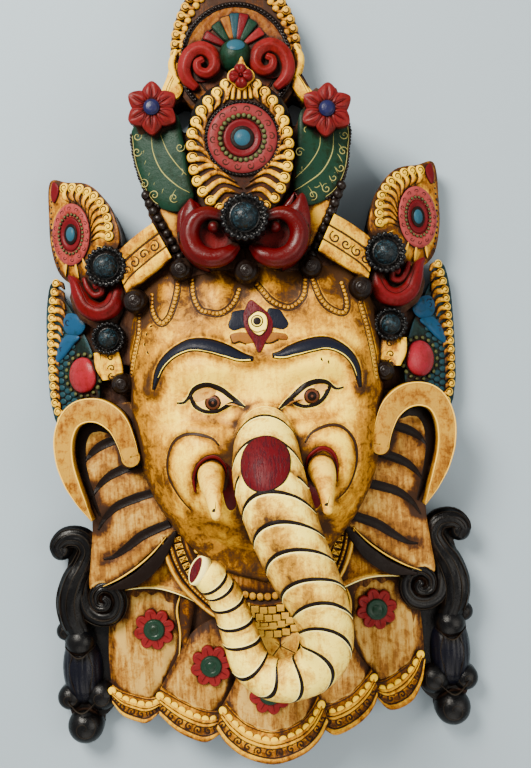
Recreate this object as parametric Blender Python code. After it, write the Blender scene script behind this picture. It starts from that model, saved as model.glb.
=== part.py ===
"""A carved and painted wooden wall mask of an elephant deity, lying on its flat back.

The face looks up along +Z, the crown points along +Y and +X is the viewer's right. Sizes are in
metres. Every carved form is a closed surface that runs down below the back plane. The forms are
melted into one body, as they are carved from one block, and the back is then cut flat and hollow.
"""

import math

import bpy
import numpy as np

# The block: where the forms end below the back, how finely they are melted together, and how many
# faces the carving keeps.
BLOCK_UNDERSIDE = -0.006
BACK_CUT_SIZE = 1.0
BACK_CUT_DEPTH = 0.050
CARVING_STEP = 0.0025
CARVED_FACES = 8100
EDGE_ROUNDING = 0.004
HOLLOW_CENTRE = (0.000, -0.045)
HOLLOW_HALF_WIDTH = 0.088
HOLLOW_STRETCH = 1.42
HOLLOW_DEPTH = 0.078
HOLLOW_FLATNESS = 2.5

# The face: its right half outline from crown to chin, its heights, and how far it and its
# features lie off the middle.
FACE_SHIFT = 0.004
FACE_OUTLINE = (
    (0.000, 0.105), (0.085, 0.094), (0.113, 0.048), (0.119, -0.020), (0.115, -0.078),
    (0.104, -0.122), (0.080, -0.162), (0.045, -0.196), (0.000, -0.212),
)
FACE_CENTRE_Y = -0.040
FACE_EDGE_Z = 0.056
FACE_FRONT_Z = 0.104
FACE_FLATNESS = 3.2
FACE_FULLNESS = 0.62
FACE_EDGE_SHARE = 0.15
FEATURE_SHIFT = 0.0085
BROW_PATH = ((0.010, -0.003), (0.030, 0.009), (0.055, 0.014), (0.077, 0.004), (0.088, -0.020))
BROW_HALF_WIDTH = 0.012
BROW_RISE = 0.005
LID_AT = (0.052, -0.008)
LID_RADIUS = 0.046
LID_RISE = 0.010
LID_STRETCH = 0.60
EYE_AT = (0.045, -0.038)
EYE_HALF_WIDTH = 0.034
EYE_STRETCH = 0.50
EYE_SINK = 0.007
EYE_SOCKET_HALF_WIDTH = 0.0425
EYE_SOCKET_STRETCH = 0.70
EYEBALL_RISE = 0.006
CHEEK_AT = (0.058, -0.098)
CHEEK_RADIUS = 0.052
CHEEK_RISE = 0.017
CHEEK_STRETCH = 1.1
CHIN_SINK = 0.022
CHIN_FROM_Y = -0.150
CHIN_REACH = 0.050

# The trunk: its centre line as (x, y, z) and its radius at each of these points.
TRUNK_PATH = (
    (0.010, -0.045, 0.088), (0.010, -0.068, 0.110), (0.011, -0.104, 0.138), (0.017, -0.131, 0.148),
    (0.026, -0.160, 0.154), (0.038, -0.190, 0.156), (0.049, -0.216, 0.153), (0.054, -0.243, 0.147),
    (0.049, -0.266, 0.139), (0.031, -0.282, 0.131), (0.008, -0.286, 0.125), (-0.012, -0.272, 0.121),
    (-0.020, -0.249, 0.118), (-0.027, -0.225, 0.117), (-0.035, -0.206, 0.118),
    (-0.046, -0.190, 0.122),
)
TRUNK_RADII = (
    0.0250, 0.0290, 0.0310, 0.0300, 0.0290, 0.0275, 0.0250, 0.0230,
    0.0210, 0.0198, 0.0188, 0.0178, 0.0165, 0.0155, 0.0150, 0.0145,
)
TUSK_PATH = ((0.049, -0.084, 0.098), (0.049, -0.107, 0.133), (0.047, -0.134, 0.158))
TUSK_LEAN = ((0.0085, 0, 0), (0.0105, 0, 0), (0.0125, 0, 0))
TUSK_RADII = (0.0125, 0.0115, 0.0040)

# The ears: a flat rim bent like a hook over a sunk body with four grooves, and a slot below it.
EAR_RIM_PATH = (
    (0.119, -0.091), (0.121, -0.073), (0.128, -0.054), (0.143, -0.043), (0.160, -0.042),
    (0.173, -0.050), (0.180, -0.067), (0.180, -0.088), (0.175, -0.107), (0.165, -0.127),
)
EAR_RIM_WIDTHS = (0.018, 0.020, 0.022, 0.023, 0.022, 0.019, 0.017, 0.015, 0.013, 0.007)
EAR_RIM_INNER_Z = 0.070
EAR_RIM_OUTER_Z = 0.056
EAR_RIM_SPAN = (0.120, 0.185)
EAR_RIM_CROWN = 0.002
EAR_OUTLINE = (
    (0.095, -0.030), (0.160, -0.038), (0.178, -0.070), (0.172, -0.110), (0.162, -0.134),
    (0.160, -0.158), (0.163, -0.184), (0.165, -0.213), (0.148, -0.209), (0.127, -0.197),
    (0.106, -0.180), (0.080, -0.160), (0.075, -0.100),
)
EAR_BODY_AT = (0.125, -0.115)
EAR_BODY_INNER_Z = 0.056
EAR_BODY_OUTER_Z = 0.042
EAR_BODY_SPAN = (0.090, 0.175)
EAR_GROOVES = (
    ((0.161, -0.088), (0.147, -0.076), (0.130, -0.070)),
    ((0.158, -0.124), (0.142, -0.107), (0.112, -0.095)),
    ((0.154, -0.155), (0.131, -0.133), (0.098, -0.122)),
    ((0.151, -0.182), (0.121, -0.171), (0.090, -0.156)),
)
EAR_GROOVE_HALF_WIDTH = 0.0045
EAR_GROOVE_DEPTH = 0.006
EAR_GROOVE_END_SHARE = 0.15
EAR_SLOT_PATH = ((0.079, -0.160), (0.094, -0.181), (0.115, -0.198), (0.141, -0.207))
EAR_SLOT_WIDTHS = (0.0029, 0.0093, 0.0116, 0.0093, 0.0035)

# The robe: a yoke, two outer panels, two inner panels and one in front, each with a raised hem.
YOKE_OUTLINE = ((0.000, -0.150), (0.090, -0.160), (0.150, -0.212), (0.120, -0.300), (0.000, -0.330))
YOKE_AT = (0.000, -0.230)
YOKE_Z = 0.026
OUTER_PANEL = (
    (0.104, -0.209), (0.083, -0.222), (0.076, -0.250), (0.084, -0.292), (0.104, -0.330),
    (0.119, -0.349), (0.139, -0.342), (0.151, -0.322), (0.154, -0.280), (0.149, -0.235),
    (0.135, -0.213),
)
OUTER_PANEL_AT = (0.116, -0.275)
OUTER_PANEL_Z = 0.030
INNER_PANEL = (
    (0.046, -0.250), (0.028, -0.276), (0.030, -0.312), (0.047, -0.352), (0.063, -0.366),
    (0.083, -0.359), (0.103, -0.340), (0.104, -0.316), (0.090, -0.292), (0.073, -0.264),
)
INNER_PANEL_AT = (0.066, -0.305)
INNER_PANEL_Z = 0.041
FRONT_PANEL = (
    (0.000, -0.262), (0.022, -0.282), (0.036, -0.312), (0.049, -0.334), (0.053, -0.350),
    (0.044, -0.367), (0.025, -0.381), (0.000, -0.3885),
)
FRONT_PANEL_AT = (0.003, -0.325)
FRONT_PANEL_Z = 0.052
PANEL_EDGE_DROP = 0.009
HEM_WIDTH = 0.026
HEM_RISE = 0.003
HEM_UPTURN = 0.4
HEM_SLOPE = 0.003
ROBE_FLOWERS = ((0.107, -0.253), (0.054, -0.291), (0.002, -0.318))
ROBE_FLOWER_RADIUS = 0.0195
ROBE_FLOWER_RISE = 0.007
ROBE_FLOWER_LOBES = 8
ROBE_FLOWER_LOBE_DEPTH = 0.12
COLLAR_PATH = (
    (0.081, -0.160), (0.078, -0.184), (0.064, -0.212), (0.040, -0.232), (0.005, -0.238),
    (-0.035, -0.232), (-0.062, -0.212), (-0.078, -0.184), (-0.082, -0.160),
)
COLLAR_WIDTH = 0.024
COLLAR_Z = 0.062
COLLAR_FALL = 0.1
COLLAR_CROWN = 0.004
PENDANT_OUTLINE = ((-0.020, -0.236), (0.038, -0.236), (0.028, -0.272), (0.006, -0.288))
PENDANT_AT = (0.010, -0.255)
PENDANT_Z = 0.064
PENDANT_FALL = 0.010

# The locks of hair: a thick strand with a volute at each end, a hanging body and round curls.
LOCK_STRAND = (
    (0.190, -0.171), (0.180, -0.167), (0.169, -0.173), (0.169, -0.185), (0.177, -0.198),
    (0.183, -0.212), (0.186, -0.227), (0.184, -0.243), (0.180, -0.258),
)
LOCK_STRAND_RADII = (0.0090, 0.0080, 0.0080, 0.0090, 0.0120, 0.0140, 0.0150, 0.0140, 0.0120)
LOCK_CURL_PATH = (
    (0.168, -0.196), (0.170, -0.212), (0.171, -0.230), (0.164, -0.243), (0.152, -0.246),
    (0.140, -0.240), (0.136, -0.227), (0.143, -0.216), (0.154, -0.218),
)
LOCK_CURL_RADII = (0.0080, 0.0080, 0.0048)
LOCK_Z = 0.026
LOCK_CURL_LIFT = 0.008
LOCK_ROUNDS = (
    (0.193, -0.176, 0.0110), (0.153, -0.227, 0.0190), (0.195, -0.257, 0.0095),
    (0.180, -0.264, 0.0150), (0.195, -0.324, 0.0125), (0.162, -0.320, 0.0160),
    (0.180, -0.349, 0.0180),
)
LOCK_ROUND_EDGE_DROP = 0.010
LOCK_ROUND_RISE = 0.012
LOCK_ROUND_RISE_SHARE = 0.4
LOCK_BODY_AT = (0.180, -0.291)
LOCK_BODY_HALF_WIDTH = 0.021
LOCK_BODY_HALF_LENGTH = 0.036
LOCK_BODY_EDGE_DROP = 0.014
LOCK_BODY_RISE = 0.022
LOCK_BACKING = (
    (0.180, -0.168), (0.192, -0.200), (0.196, -0.250), (0.196, -0.300), (0.185, -0.345),
    (0.150, -0.330), (0.140, -0.260), (0.148, -0.215), (0.164, -0.185),
)
LOCK_BACKING_AT = (0.180, -0.256)
LOCK_BACKING_Z = 0.018

# The crown: a raised board with leaves, scrolls, a centre boss, a medallion and gold bands.
CROWN_BOARD = (
    (0.000, 0.235), (0.052, 0.206), (0.078, 0.150), (0.066, 0.098), (0.058, 0.078), (0.000, 0.070),
)
CROWN_BOARD_AT = (0.000, 0.150)
CROWN_BOARD_Z = 0.084
CROWN_BEAD_LINE = ((0.088, 0.146), (0.082, 0.126), (0.075, 0.108), (0.066, 0.090))
CROWN_BEAD_RADIUS = 0.0050
CROWN_BEADS = 7
LEAF_OUTLINE = (
    (0.056, 0.222), (0.046, 0.190), (0.043, 0.160), (0.050, 0.140), (0.067, 0.138),
    (0.083, 0.150), (0.093, 0.170), (0.099, 0.195), (0.097, 0.220), (0.078, 0.230),
)
LEAF_AT = (0.070, 0.182)
LEAF_INNER_Z = CROWN_BOARD_Z + 0.012
LEAF_OUTER_Z = CROWN_BOARD_Z
LEAF_SPAN = (0.045, 0.098)
LEAF_FLOWER_AT = (0.0800, 0.2250)
LEAF_FLOWER_RADIUS = 0.0225
LEAF_FLOWER_Z = LEAF_OUTER_Z + 0.014
LEAF_FLOWER_RISE = 0.004
LEAF_FLOWER_PETALS = 6
LEAF_FLOWER_PETAL_DEPTH = 0.25
LEAF_FLOWER_CENTRE_RADIUS = 0.0080
LEAF_FLOWER_CENTRE_RISE = 0.006
SCROLL_PATH = (
    (0.047, 0.142), (0.052, 0.126), (0.053, 0.107), (0.045, 0.090), (0.030, 0.083),
    (0.015, 0.088), (0.009, 0.100),
)
SCROLL_RADII = (0.0020, 0.0060, 0.0085, 0.0105, 0.0105, 0.0090, 0.0060)
SCROLL_INNER_PATH = ((0.045, 0.126), (0.030, 0.122), (0.024, 0.112), (0.032, 0.106))
SCROLL_INNER_RADII = (0.0050, 0.0060, 0.0045, 0.0060)
SCROLL_FLOOR_AT = (0.032, 0.106)
SCROLL_FLOOR_RADIUS = 0.024
SCROLL_FLOOR_Z = CROWN_BOARD_Z + 0.008
SCROLL_Z = SCROLL_FLOOR_Z + 0.020
CENTRE_BOSS = (0.0005, 0.1205, 0.142, 0.0215)
BOSS_HEIGHT_SHARE = 0.80
BOSS_RIM_SHARE = 0.20
BOSS_KNOB_SHARE = 0.70
BOSS_RUFFLES = 14
BOSS_RUFFLE_DEPTH = 0.08
MEDALLION_OUTLINE = (
    (0.000, 0.257), (0.017, 0.244), (0.030, 0.229), (0.041, 0.209), (0.046, 0.185),
    (0.043, 0.161), (0.035, 0.140), (0.022, 0.126), (0.000, 0.122),
)
MEDALLION_AT = (0.003, 0.190)
MEDALLION_Z = CROWN_BOARD_Z + 0.026
MEDALLION_DISH = 0.003
MEDALLION_SCALES = 11
MEDALLION_SCALE_DEPTH = 0.025
ROSETTE_RADIUS = 0.0335
ROSETTE_RISE = 0.007
JEWEL_OUTLINE = ((0.000, 0.268), (0.008, 0.257), (0.011, 0.246), (0.000, 0.238))
JEWEL_Z = MEDALLION_Z + 0.011
JEWEL_FALL = 0.008
BAND_OUTLINE = (
    (0.069, 0.097), (0.080, 0.123), (0.118, 0.110), (0.140, 0.100), (0.130, 0.060), (0.103, 0.071),
)
BAND_AT = (0.100, 0.095)
BAND_INNER_Z = 0.096
BAND_OUTER_Z = 0.066
BAND_SPAN = (0.070, 0.135)
ROUND_BEADS = (
    (0.060, 0.081, 0.098, 0.0105), (0.103, 0.059, 0.082, 0.0115), (0.124, -0.018, 0.062, 0.0105),
)
MIDDLE_BEAD = (-0.001, 0.078, 0.103, 0.0120)
RECESS_PATH = ((0.000, 0.088), (0.045, 0.088), (0.085, 0.076), (0.112, 0.040), (0.122, 0.000))
RECESS_WIDTH = 0.030
RECESS_INNER_Z = CROWN_BOARD_Z
RECESS_OUTER_Z = 0.054
RECESS_SPAN = (0.060, 0.125)

# The hair bun and the tall plate behind the crown.
BUN_HALF_WIDTH = 0.050
BUN_AT = (0.001, 0.214)
BUN_STRETCH = 0.98
BUN_EDGE_Z = 0.058
BUN_RISE = 0.024
PLATE_CENTRE_Y = 0.290
PLATE_RADIUS = 0.0640
PLATE_TIP_REACH = 0.0980
PLATE_TIP_SHARPNESS = 1.77
PLATE_Z = 0.040
PLATE_SCALES = 36
PLATE_SCALE_RISE = 0.0018
PLATE_RING_AT = 0.78
PLATE_RING_HALF_WIDTH = 0.06
PLATE_RING_RISE = 0.004
PLATE_FIELD_SINK = 0.005
PLATE_FIELD_SLOPE = 0.04
PLATE_SCROLL_AT = (0.0335, 0.282)
PLATE_SCROLL_RADIUS = 0.0165
PLATE_SCROLL_RISE = 0.008
PLATE_BOSS_RADIUS = 0.0165
PLATE_BOSS_RISE = 0.018
WING_OUTLINE = ((0.050, 0.296), (0.063, 0.276), (0.074, 0.254), (0.063, 0.246), (0.046, 0.262))
WING_AT = (0.060, 0.264)
WING_Z = 0.040

# The side ornaments: an upper leaf, two bosses with a scroll between, and a lower leaf.
SIDE_LEAF = (
    (0.187, 0.181), (0.168, 0.178), (0.147, 0.173), (0.131, 0.158), (0.121, 0.138),
    (0.118, 0.112), (0.140, 0.090), (0.164, 0.080), (0.181, 0.091), (0.189, 0.117),
    (0.190, 0.145),
)
SIDE_LEAF_AT = (0.158, 0.130)
SIDE_LEAF_INNER_Z = 0.070
SIDE_LEAF_OUTER_Z = 0.026
SIDE_LEAF_SPAN = (0.118, 0.192)
SIDE_ROSETTE_AT = (0.169, 0.127)
SIDE_ROSETTE_RADIUS = 0.0180
SIDE_ROSETTE_STRETCH = 1.67
SIDE_ROSETTE_RISE = 0.006
SIDE_BOSSES = ((0.1295, 0.0910, 0.088, 0.0195), (0.1320, 0.0250, 0.076, 0.0160))
SIDE_SCROLL_PATH = (
    (0.164, 0.078), (0.164, 0.063), (0.155, 0.049), (0.140, 0.043), (0.126, 0.048), (0.120, 0.060),
)
SIDE_SCROLL_RADII = (0.0030, 0.0060, 0.0085, 0.0095, 0.0085, 0.0050)
SIDE_SCROLL_Z = 0.062
SIDE_BACKING = (
    (0.108, 0.100), (0.150, 0.100), (0.166, 0.078), (0.164, 0.045), (0.152, 0.000),
    (0.150, -0.050), (0.108, -0.050),
)
SIDE_BACKING_AT = (0.135, 0.030)
SIDE_BACKING_Z = 0.048
SMALL_BAND_PATH = ((0.138, 0.012), (0.132, -0.010))
SMALL_BAND_WIDTH = 0.024
SMALL_BAND_Z = 0.062
LOWER_LEAF = (
    (0.191, 0.084), (0.198, 0.060), (0.200, 0.025), (0.200, -0.010), (0.198, -0.036),
    (0.188, -0.056), (0.150, -0.040), (0.146, -0.010), (0.152, 0.016), (0.164, 0.042),
    (0.178, 0.066),
)
LOWER_LEAF_AT = (0.176, 0.005)
LOWER_LEAF_INNER_Z = 0.050
LOWER_LEAF_OUTER_Z = 0.018
LOWER_LEAF_SPAN = (0.150, 0.200)
CABOCHON_AT = (0.161, -0.008)
CABOCHON_RADIUS = 0.0150
CABOCHON_EDGE_Z = 0.036
CABOCHON_RISE = 0.014

WOOD_COLOUR = (0.72, 0.50, 0.22, 1.0)
WOOD_ROUGHNESS = 0.45


def smooth_line(points, count, closed=False):
    """Evenly spaced points on a Catmull-Rom curve through the given ones."""
    points = np.asarray(points, float)
    if closed:
        control = np.vstack([points[-1:], points, points[:2]])
    else:
        control = np.vstack([2 * points[0] - points[1], points, 2 * points[-1] - points[-2]])
    spans = len(control) - 3
    t = np.linspace(0, 1, 16, endpoint=False)[:, None]
    pieces = []
    for first in range(spans):
        a, b, c, d = control[first : first + 4]
        pieces.append(
            b + 0.5 * t * (c - a + t * (2 * a - 5 * b + 4 * c - d + t * (3 * b - a - 3 * c + d)))
        )
    fine = np.vstack(pieces + [control[spans + 1 : spans + 2]])
    travelled = np.r_[0, np.cumsum(np.linalg.norm(np.diff(fine, axis=0), axis=1))]
    wanted = np.linspace(0, travelled[-1], count + closed)[:count]
    return np.stack([np.interp(wanted, travelled, axis) for axis in fine.T], axis=1)


def mirrored_outline(half, count, shift=0.0):
    """A closed outline from its right half, which runs from its top to its foot."""
    right = smooth_line(half, count)
    left = right[-2:0:-1] * [-1, 1]
    return np.vstack([right, left]) + [shift, 0]


def facing_up(outline):
    """The outline, turned anticlockwise as seen from the front."""
    x, y = outline.T
    area = np.sum(x * np.roll(y, -1) - y * np.roll(x, -1))
    return outline if area > 0 else outline[::-1]


def slab(outline, centre, top, rings=8, underside=BLOCK_UNDERSIDE):
    """A solid with a carved top: top(x, y, t) is its height, where t is 0 at centre, 1 at the edge."""
    outline = facing_up(np.asarray(outline, float))
    count = len(outline)
    share = np.linspace(0, 1, rings + 1)[1:]
    rounds = np.asarray(centre) + share[:, None, None] * (outline - centre)
    flat = np.vstack([[centre], rounds.reshape(-1, 2)])
    height = top(flat[:, 0], flat[:, 1], np.r_[0, np.repeat(share, count)])
    vertices = np.vstack([
        np.c_[flat, height],
        np.c_[outline, np.full(count, underside)],
        [[*centre, underside]],
    ])
    here = np.arange(count)
    there = np.roll(here, -1)
    faces = [(0, 1 + a, 1 + b) for a, b in zip(here, there)]
    for ring in range(rings):
        inner = 1 + ring * count
        outer = inner + count
        faces += [(inner + a, outer + a, outer + b, inner + b) for a, b in zip(here, there)]
    under = 1 + rings * count
    faces += [(len(vertices) - 1, under + b, under + a) for a, b in zip(here, there)]
    return vertices, faces


def tube(path, radii, sides=14, steps=40):
    """A round rod with rounded ends along a smooth path, its radius changing on the way."""
    line = smooth_line(path, steps)
    at = np.linspace(0, 1, steps)
    radius = np.interp(at, np.linspace(0, 1, len(radii)), radii)
    tangent = np.gradient(line, axis=0)
    tangent /= np.linalg.norm(tangent, axis=1)[:, None]
    angle = np.linspace(0, 2 * math.pi, sides, endpoint=False)
    across = np.cross(tangent, [0.0, 0.0, 1.0])
    steep = np.linalg.norm(across, axis=1) < 0.2
    across[steep] = np.cross(tangent[steep], [0.0, 1.0, 0.0])
    across /= np.linalg.norm(across, axis=1)[:, None]
    for step in range(1, steps):
        if np.dot(across[step], across[step - 1]) < 0:
            across[step] *= -1
    other = np.cross(across, tangent)
    ring = across[:, None] * np.cos(angle)[None, :, None] + other[:, None] * np.sin(angle)[None, :, None]
    body = line[:, None] + ring * radius[:, None, None]
    first = line[0] - tangent[0] * radius[0] * 0.6
    last = line[-1] + tangent[-1] * radius[-1] * 0.6
    vertices = np.vstack([body.reshape(-1, 3), first[None], last[None]])
    here = np.arange(sides)
    there = np.roll(here, -1)
    faces = []
    for step in range(steps - 1):
        low = step * sides
        high = low + sides
        faces += [(low + a, low + b, high + b, high + a) for a, b in zip(here, there)]
    end = (steps - 1) * sides
    faces += [(len(vertices) - 2, b, a) for a, b in zip(here, there)]
    faces += [(len(vertices) - 1, end + a, end + b) for a, b in zip(here, there)]
    return vertices, faces


def band(path, widths, height, crown=0.0, steps=40, underside=BLOCK_UNDERSIDE):
    """A strip along a path: height(x, y) at its edges, with its middle higher by crown."""
    line = smooth_line(path, steps)
    width = np.interp(np.linspace(0, 1, steps), np.linspace(0, 1, len(widths)), widths)
    tangent = np.gradient(line, axis=0)
    tangent /= np.linalg.norm(tangent, axis=1)[:, None]
    half = np.c_[tangent[:, 1], -tangent[:, 0]] * width[:, None] / 2
    across = np.array([-1.0, -0.6, 0.0, 0.6, 1.0])
    flat = line[:, None] + half[:, None] * across[None, :, None]
    top = height(flat[..., 0], flat[..., 1]) + crown * (1 - across**2)
    upper = np.dstack([flat, top]).reshape(-1, 3)
    lower = upper * [1, 1, 0] + [0, 0, underside]
    vertices = np.vstack([upper, lower])
    columns = len(across)
    below = len(upper)
    faces = []
    for step in range(steps - 1):
        for column in range(columns - 1):
            a = step * columns + column
            b, c, d = a + 1, a + columns + 1, a + columns
            faces.append((a, b, c, d))
            faces.append((below + d, below + c, below + b, below + a))
    for step in range(steps - 1):
        for column, turn in ((0, 1), (columns - 1, -1)):
            a = step * columns + column
            d = a + columns
            faces.append((a, d, below + d, below + a)[::turn])
    for column in range(columns - 1):
        for step, turn in ((0, -1), (steps - 1, 1)):
            a = step * columns + column
            faces.append((a, a + 1, below + a + 1, below + a)[::turn])
    return vertices, faces


def round_outline(centre, radius, count=32, lobes=0, lobe_depth=0.0, stretch=1.0):
    """A circle or an ellipse, with lobes like petals where asked."""
    angle = np.linspace(0, 2 * math.pi, count, endpoint=False)
    reach = radius * (1 - lobe_depth + lobe_depth * np.abs(np.cos(lobes * angle / 2)))
    return np.c_[centre[0] + reach * np.cos(angle), centre[1] + reach * stretch * np.sin(angle)]


def dome(centre, radius, edge_z, rise, stretch=1.0, lobes=0, lobe_depth=0.0, count=32):
    """A round cushion whose height falls from its centre to its edge."""
    outline = round_outline(centre, radius, count, lobes, lobe_depth, stretch)
    return slab(outline, centre, lambda x, y, t: edge_z + rise * np.sqrt(1 - t**2))


def ball(centre, radius, rings=8, sides=14):
    """A ball at (x, y, z)."""
    rise = np.linspace(-0.999, 0.999, rings)
    path = np.asarray(centre) + np.c_[rise * 0, rise * 0, rise * radius]
    return tube(path, radius * np.sqrt(1 - np.sin(rise * math.pi / 2) ** 4), sides, rings)


def level(z):
    """A flat top."""
    return lambda x, y, t=0: np.full_like(x, z)


def leaning(span, inner_z, outer_z):
    """Height that falls from inner_z to outer_z between two distances from the middle."""
    return lambda x: np.interp(np.abs(x), span, (inner_z, outer_z))


def swell(x, y, at, radius, rise, stretch=1.0):
    """A smooth rise round a point, gone at the radius."""
    away = ((x - at[0]) ** 2 + ((y - at[1]) / stretch) ** 2) / radius**2
    return rise * np.clip(1 - away, 0, 1) ** 2


def line_distance(x, y, path):
    """Distance from each point to a smooth line, and how far along it the nearest place is."""
    line = smooth_line(path, 24)
    points = np.stack([x, y], axis=-1)[..., None, :]
    start = line[:-1]
    step = np.diff(line, axis=0)
    along = np.clip(((points - start) * step).sum(-1) / (step**2).sum(-1), 0, 1)
    gap = np.linalg.norm(points - start - along[..., None] * step, axis=-1)
    nearest = gap.argmin(-1)
    share = np.take_along_axis(along, nearest[..., None], -1)[..., 0]
    return gap.min(-1), (nearest + share) / len(step)


def face_height(x, y, t):
    """The cheeks, brows and eyes on the dome of the face."""
    dome_share = np.clip(1 - t**FACE_FLATNESS, 0, 1) ** FACE_FULLNESS
    height = FACE_EDGE_Z + (FACE_FRONT_Z - FACE_EDGE_Z) * dome_share
    away = np.abs(x - FEATURE_SHIFT)
    inside = np.clip((1 - t) / FACE_EDGE_SHARE, 0, 1)
    gap, _ = line_distance(away, y, BROW_PATH)
    carved = BROW_RISE * np.clip(1 - (gap / BROW_HALF_WIDTH) ** 2, 0, 1) ** 1.5
    carved += swell(away, y, LID_AT, LID_RADIUS, LID_RISE, LID_STRETCH)
    carved -= swell(away, y, EYE_AT, EYE_SOCKET_HALF_WIDTH, EYE_SINK, EYE_SOCKET_STRETCH)
    carved += swell(away, y, EYE_AT, EYE_HALF_WIDTH, EYEBALL_RISE, EYE_STRETCH)
    carved += swell(away, y, CHEEK_AT, CHEEK_RADIUS, CHEEK_RISE, CHEEK_STRETCH)
    carved -= CHIN_SINK * np.clip((CHIN_FROM_Y - y) / CHIN_REACH, 0, 1)
    return height + inside * carved


def face_forms():
    """The face with its trunk; the tusks come in pairs."""
    outline = mirrored_outline(FACE_OUTLINE, 40, FACE_SHIFT)
    yield slab(outline, (FACE_SHIFT, FACE_CENTRE_Y), face_height, rings=18)
    yield tube(TRUNK_PATH, TRUNK_RADII, sides=20, steps=60)


def side_x(points, side):
    """The points on the other side of the middle, where side is -1."""
    points = np.array(points, float)
    points[..., 0] *= side
    return points


def tusk(side):
    """A tusk, which leans to the viewer's right as it rises."""
    path = side_x(TUSK_PATH, side) + TUSK_LEAN
    yield tube(path, TUSK_RADII, steps=14)


def ear(side):
    """The sunk body with its grooves, and the raised rim over it."""
    lean = leaning(EAR_BODY_SPAN, EAR_BODY_INNER_Z, EAR_BODY_OUTER_Z)

    def body_height(x, y, t):
        height = lean(x)
        for groove in EAR_GROOVES:
            gap, along = line_distance(np.abs(x), y, groove)
            taper = np.sqrt(np.clip(4 * along * (1 - along), EAR_GROOVE_END_SHARE, 1))
            across = gap / (EAR_GROOVE_HALF_WIDTH * taper)
            height = height - EAR_GROOVE_DEPTH * np.clip(1 - across**2, 0, 1)
        return height

    outline = smooth_line(side_x(EAR_OUTLINE, side), 90, closed=True)
    yield slab(outline, side_x(EAR_BODY_AT, side), body_height, rings=28)
    rim_lean = leaning(EAR_RIM_SPAN, EAR_RIM_INNER_Z, EAR_RIM_OUTER_Z)
    yield band(side_x(EAR_RIM_PATH, side), EAR_RIM_WIDTHS, lambda x, y: rim_lean(x), EAR_RIM_CROWN)
    end = side_x(EAR_RIM_PATH[0], side)
    yield dome(end, EAR_RIM_WIDTHS[0] / 2, EAR_RIM_INNER_Z, EAR_RIM_CROWN)


def ear_slot(side):
    """The pierced slot between the ear and the robe: narrow at both ends."""
    path = side_x(EAR_SLOT_PATH, side)
    return band(path, EAR_SLOT_WIDTHS, level(2 * EAR_BODY_INNER_Z), underside=-BACK_CUT_DEPTH)


def panel(outline, centre, height):
    """A robe panel: rounded to its edge, with a raised hem along its foot."""
    foot = min(point[1] for point in outline)

    def panel_height(x, y, t):
        hem_top = foot + HEM_WIDTH + HEM_UPTURN * np.abs(x - centre[0])
        hem = np.clip((hem_top - y) / HEM_SLOPE, 0, 1)
        return height - PANEL_EDGE_DROP * t**4 + HEM_RISE * hem

    return slab(smooth_line(outline, 48, closed=True), centre, panel_height, rings=14)


def robe_flower(centre, z):
    """A low flower with eight lobes on a robe panel."""
    return dome(centre, ROBE_FLOWER_RADIUS, z, ROBE_FLOWER_RISE,
                lobes=ROBE_FLOWER_LOBES, lobe_depth=ROBE_FLOWER_LOBE_DEPTH)


def robe_sides(side):
    yield panel(side_x(OUTER_PANEL, side), side_x(OUTER_PANEL_AT, side), OUTER_PANEL_Z)
    yield panel(side_x(INNER_PANEL, side), side_x(INNER_PANEL_AT, side), INNER_PANEL_Z)
    for flower, z in zip(ROBE_FLOWERS, (OUTER_PANEL_Z, INNER_PANEL_Z)):
        yield robe_flower(side_x(flower, side), z)


def robe_middle():
    """The yoke, the panel in front, the collar and the pendant below it."""
    yoke = mirrored_outline(YOKE_OUTLINE, 24)
    yield slab(yoke, YOKE_AT, level(YOKE_Z))
    front = mirrored_outline(FRONT_PANEL, 12, FRONT_PANEL_AT[0])
    yield panel(front, FRONT_PANEL_AT, FRONT_PANEL_Z)
    yield robe_flower(ROBE_FLOWERS[2], FRONT_PANEL_Z)
    collar_z = lambda x, y: COLLAR_Z - COLLAR_FALL * np.abs(x)
    yield band(COLLAR_PATH, (COLLAR_WIDTH,) * 2, collar_z, COLLAR_CROWN)
    outline = smooth_line(PENDANT_OUTLINE, 32, closed=True)
    yield slab(outline, PENDANT_AT, lambda x, y, t: PENDANT_Z - PENDANT_FALL * t)


def lock_of_hair(side):
    """The thick strand, the inner volute and the hanging body, on a thin backing."""
    strand = np.c_[side_x(LOCK_STRAND, side), np.full(len(LOCK_STRAND), LOCK_Z)]
    yield tube(strand, LOCK_STRAND_RADII)
    curl = np.c_[side_x(LOCK_CURL_PATH, side), np.full(len(LOCK_CURL_PATH), LOCK_Z + LOCK_CURL_LIFT)]
    yield tube(curl, LOCK_CURL_RADII)
    centre = side_x(LOCK_BODY_AT, side)
    stretch = LOCK_BODY_HALF_LENGTH / LOCK_BODY_HALF_WIDTH
    yield dome(centre, LOCK_BODY_HALF_WIDTH, LOCK_Z - LOCK_BODY_EDGE_DROP, LOCK_BODY_RISE, stretch)
    for x, y, radius in LOCK_ROUNDS:
        rise = LOCK_ROUND_RISE + LOCK_ROUND_RISE_SHARE * radius
        yield dome((side * x, y), radius, LOCK_Z - LOCK_ROUND_EDGE_DROP, rise)
    widths = 2 * np.array(LOCK_STRAND_RADII)
    yield band(side_x(LOCK_STRAND, side), widths, level(LOCK_Z))
    outline = smooth_line(side_x(LOCK_BACKING, side), 40, closed=True)
    yield slab(outline, side_x(LOCK_BACKING_AT, side), level(LOCK_BACKING_Z))


def boss(x, y, top, radius):
    """A ruffled rim with a round knob in it."""
    centre = (x, y)
    rim_z = top - BOSS_HEIGHT_SHARE * radius
    rim_rise = BOSS_RIM_SHARE * radius
    yield dome(centre, radius, rim_z, rim_rise, lobes=BOSS_RUFFLES, lobe_depth=BOSS_RUFFLE_DEPTH)
    yield dome(centre, radius * BOSS_KNOB_SHARE, rim_z + rim_rise / 2, top - rim_z - rim_rise / 2)


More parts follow.
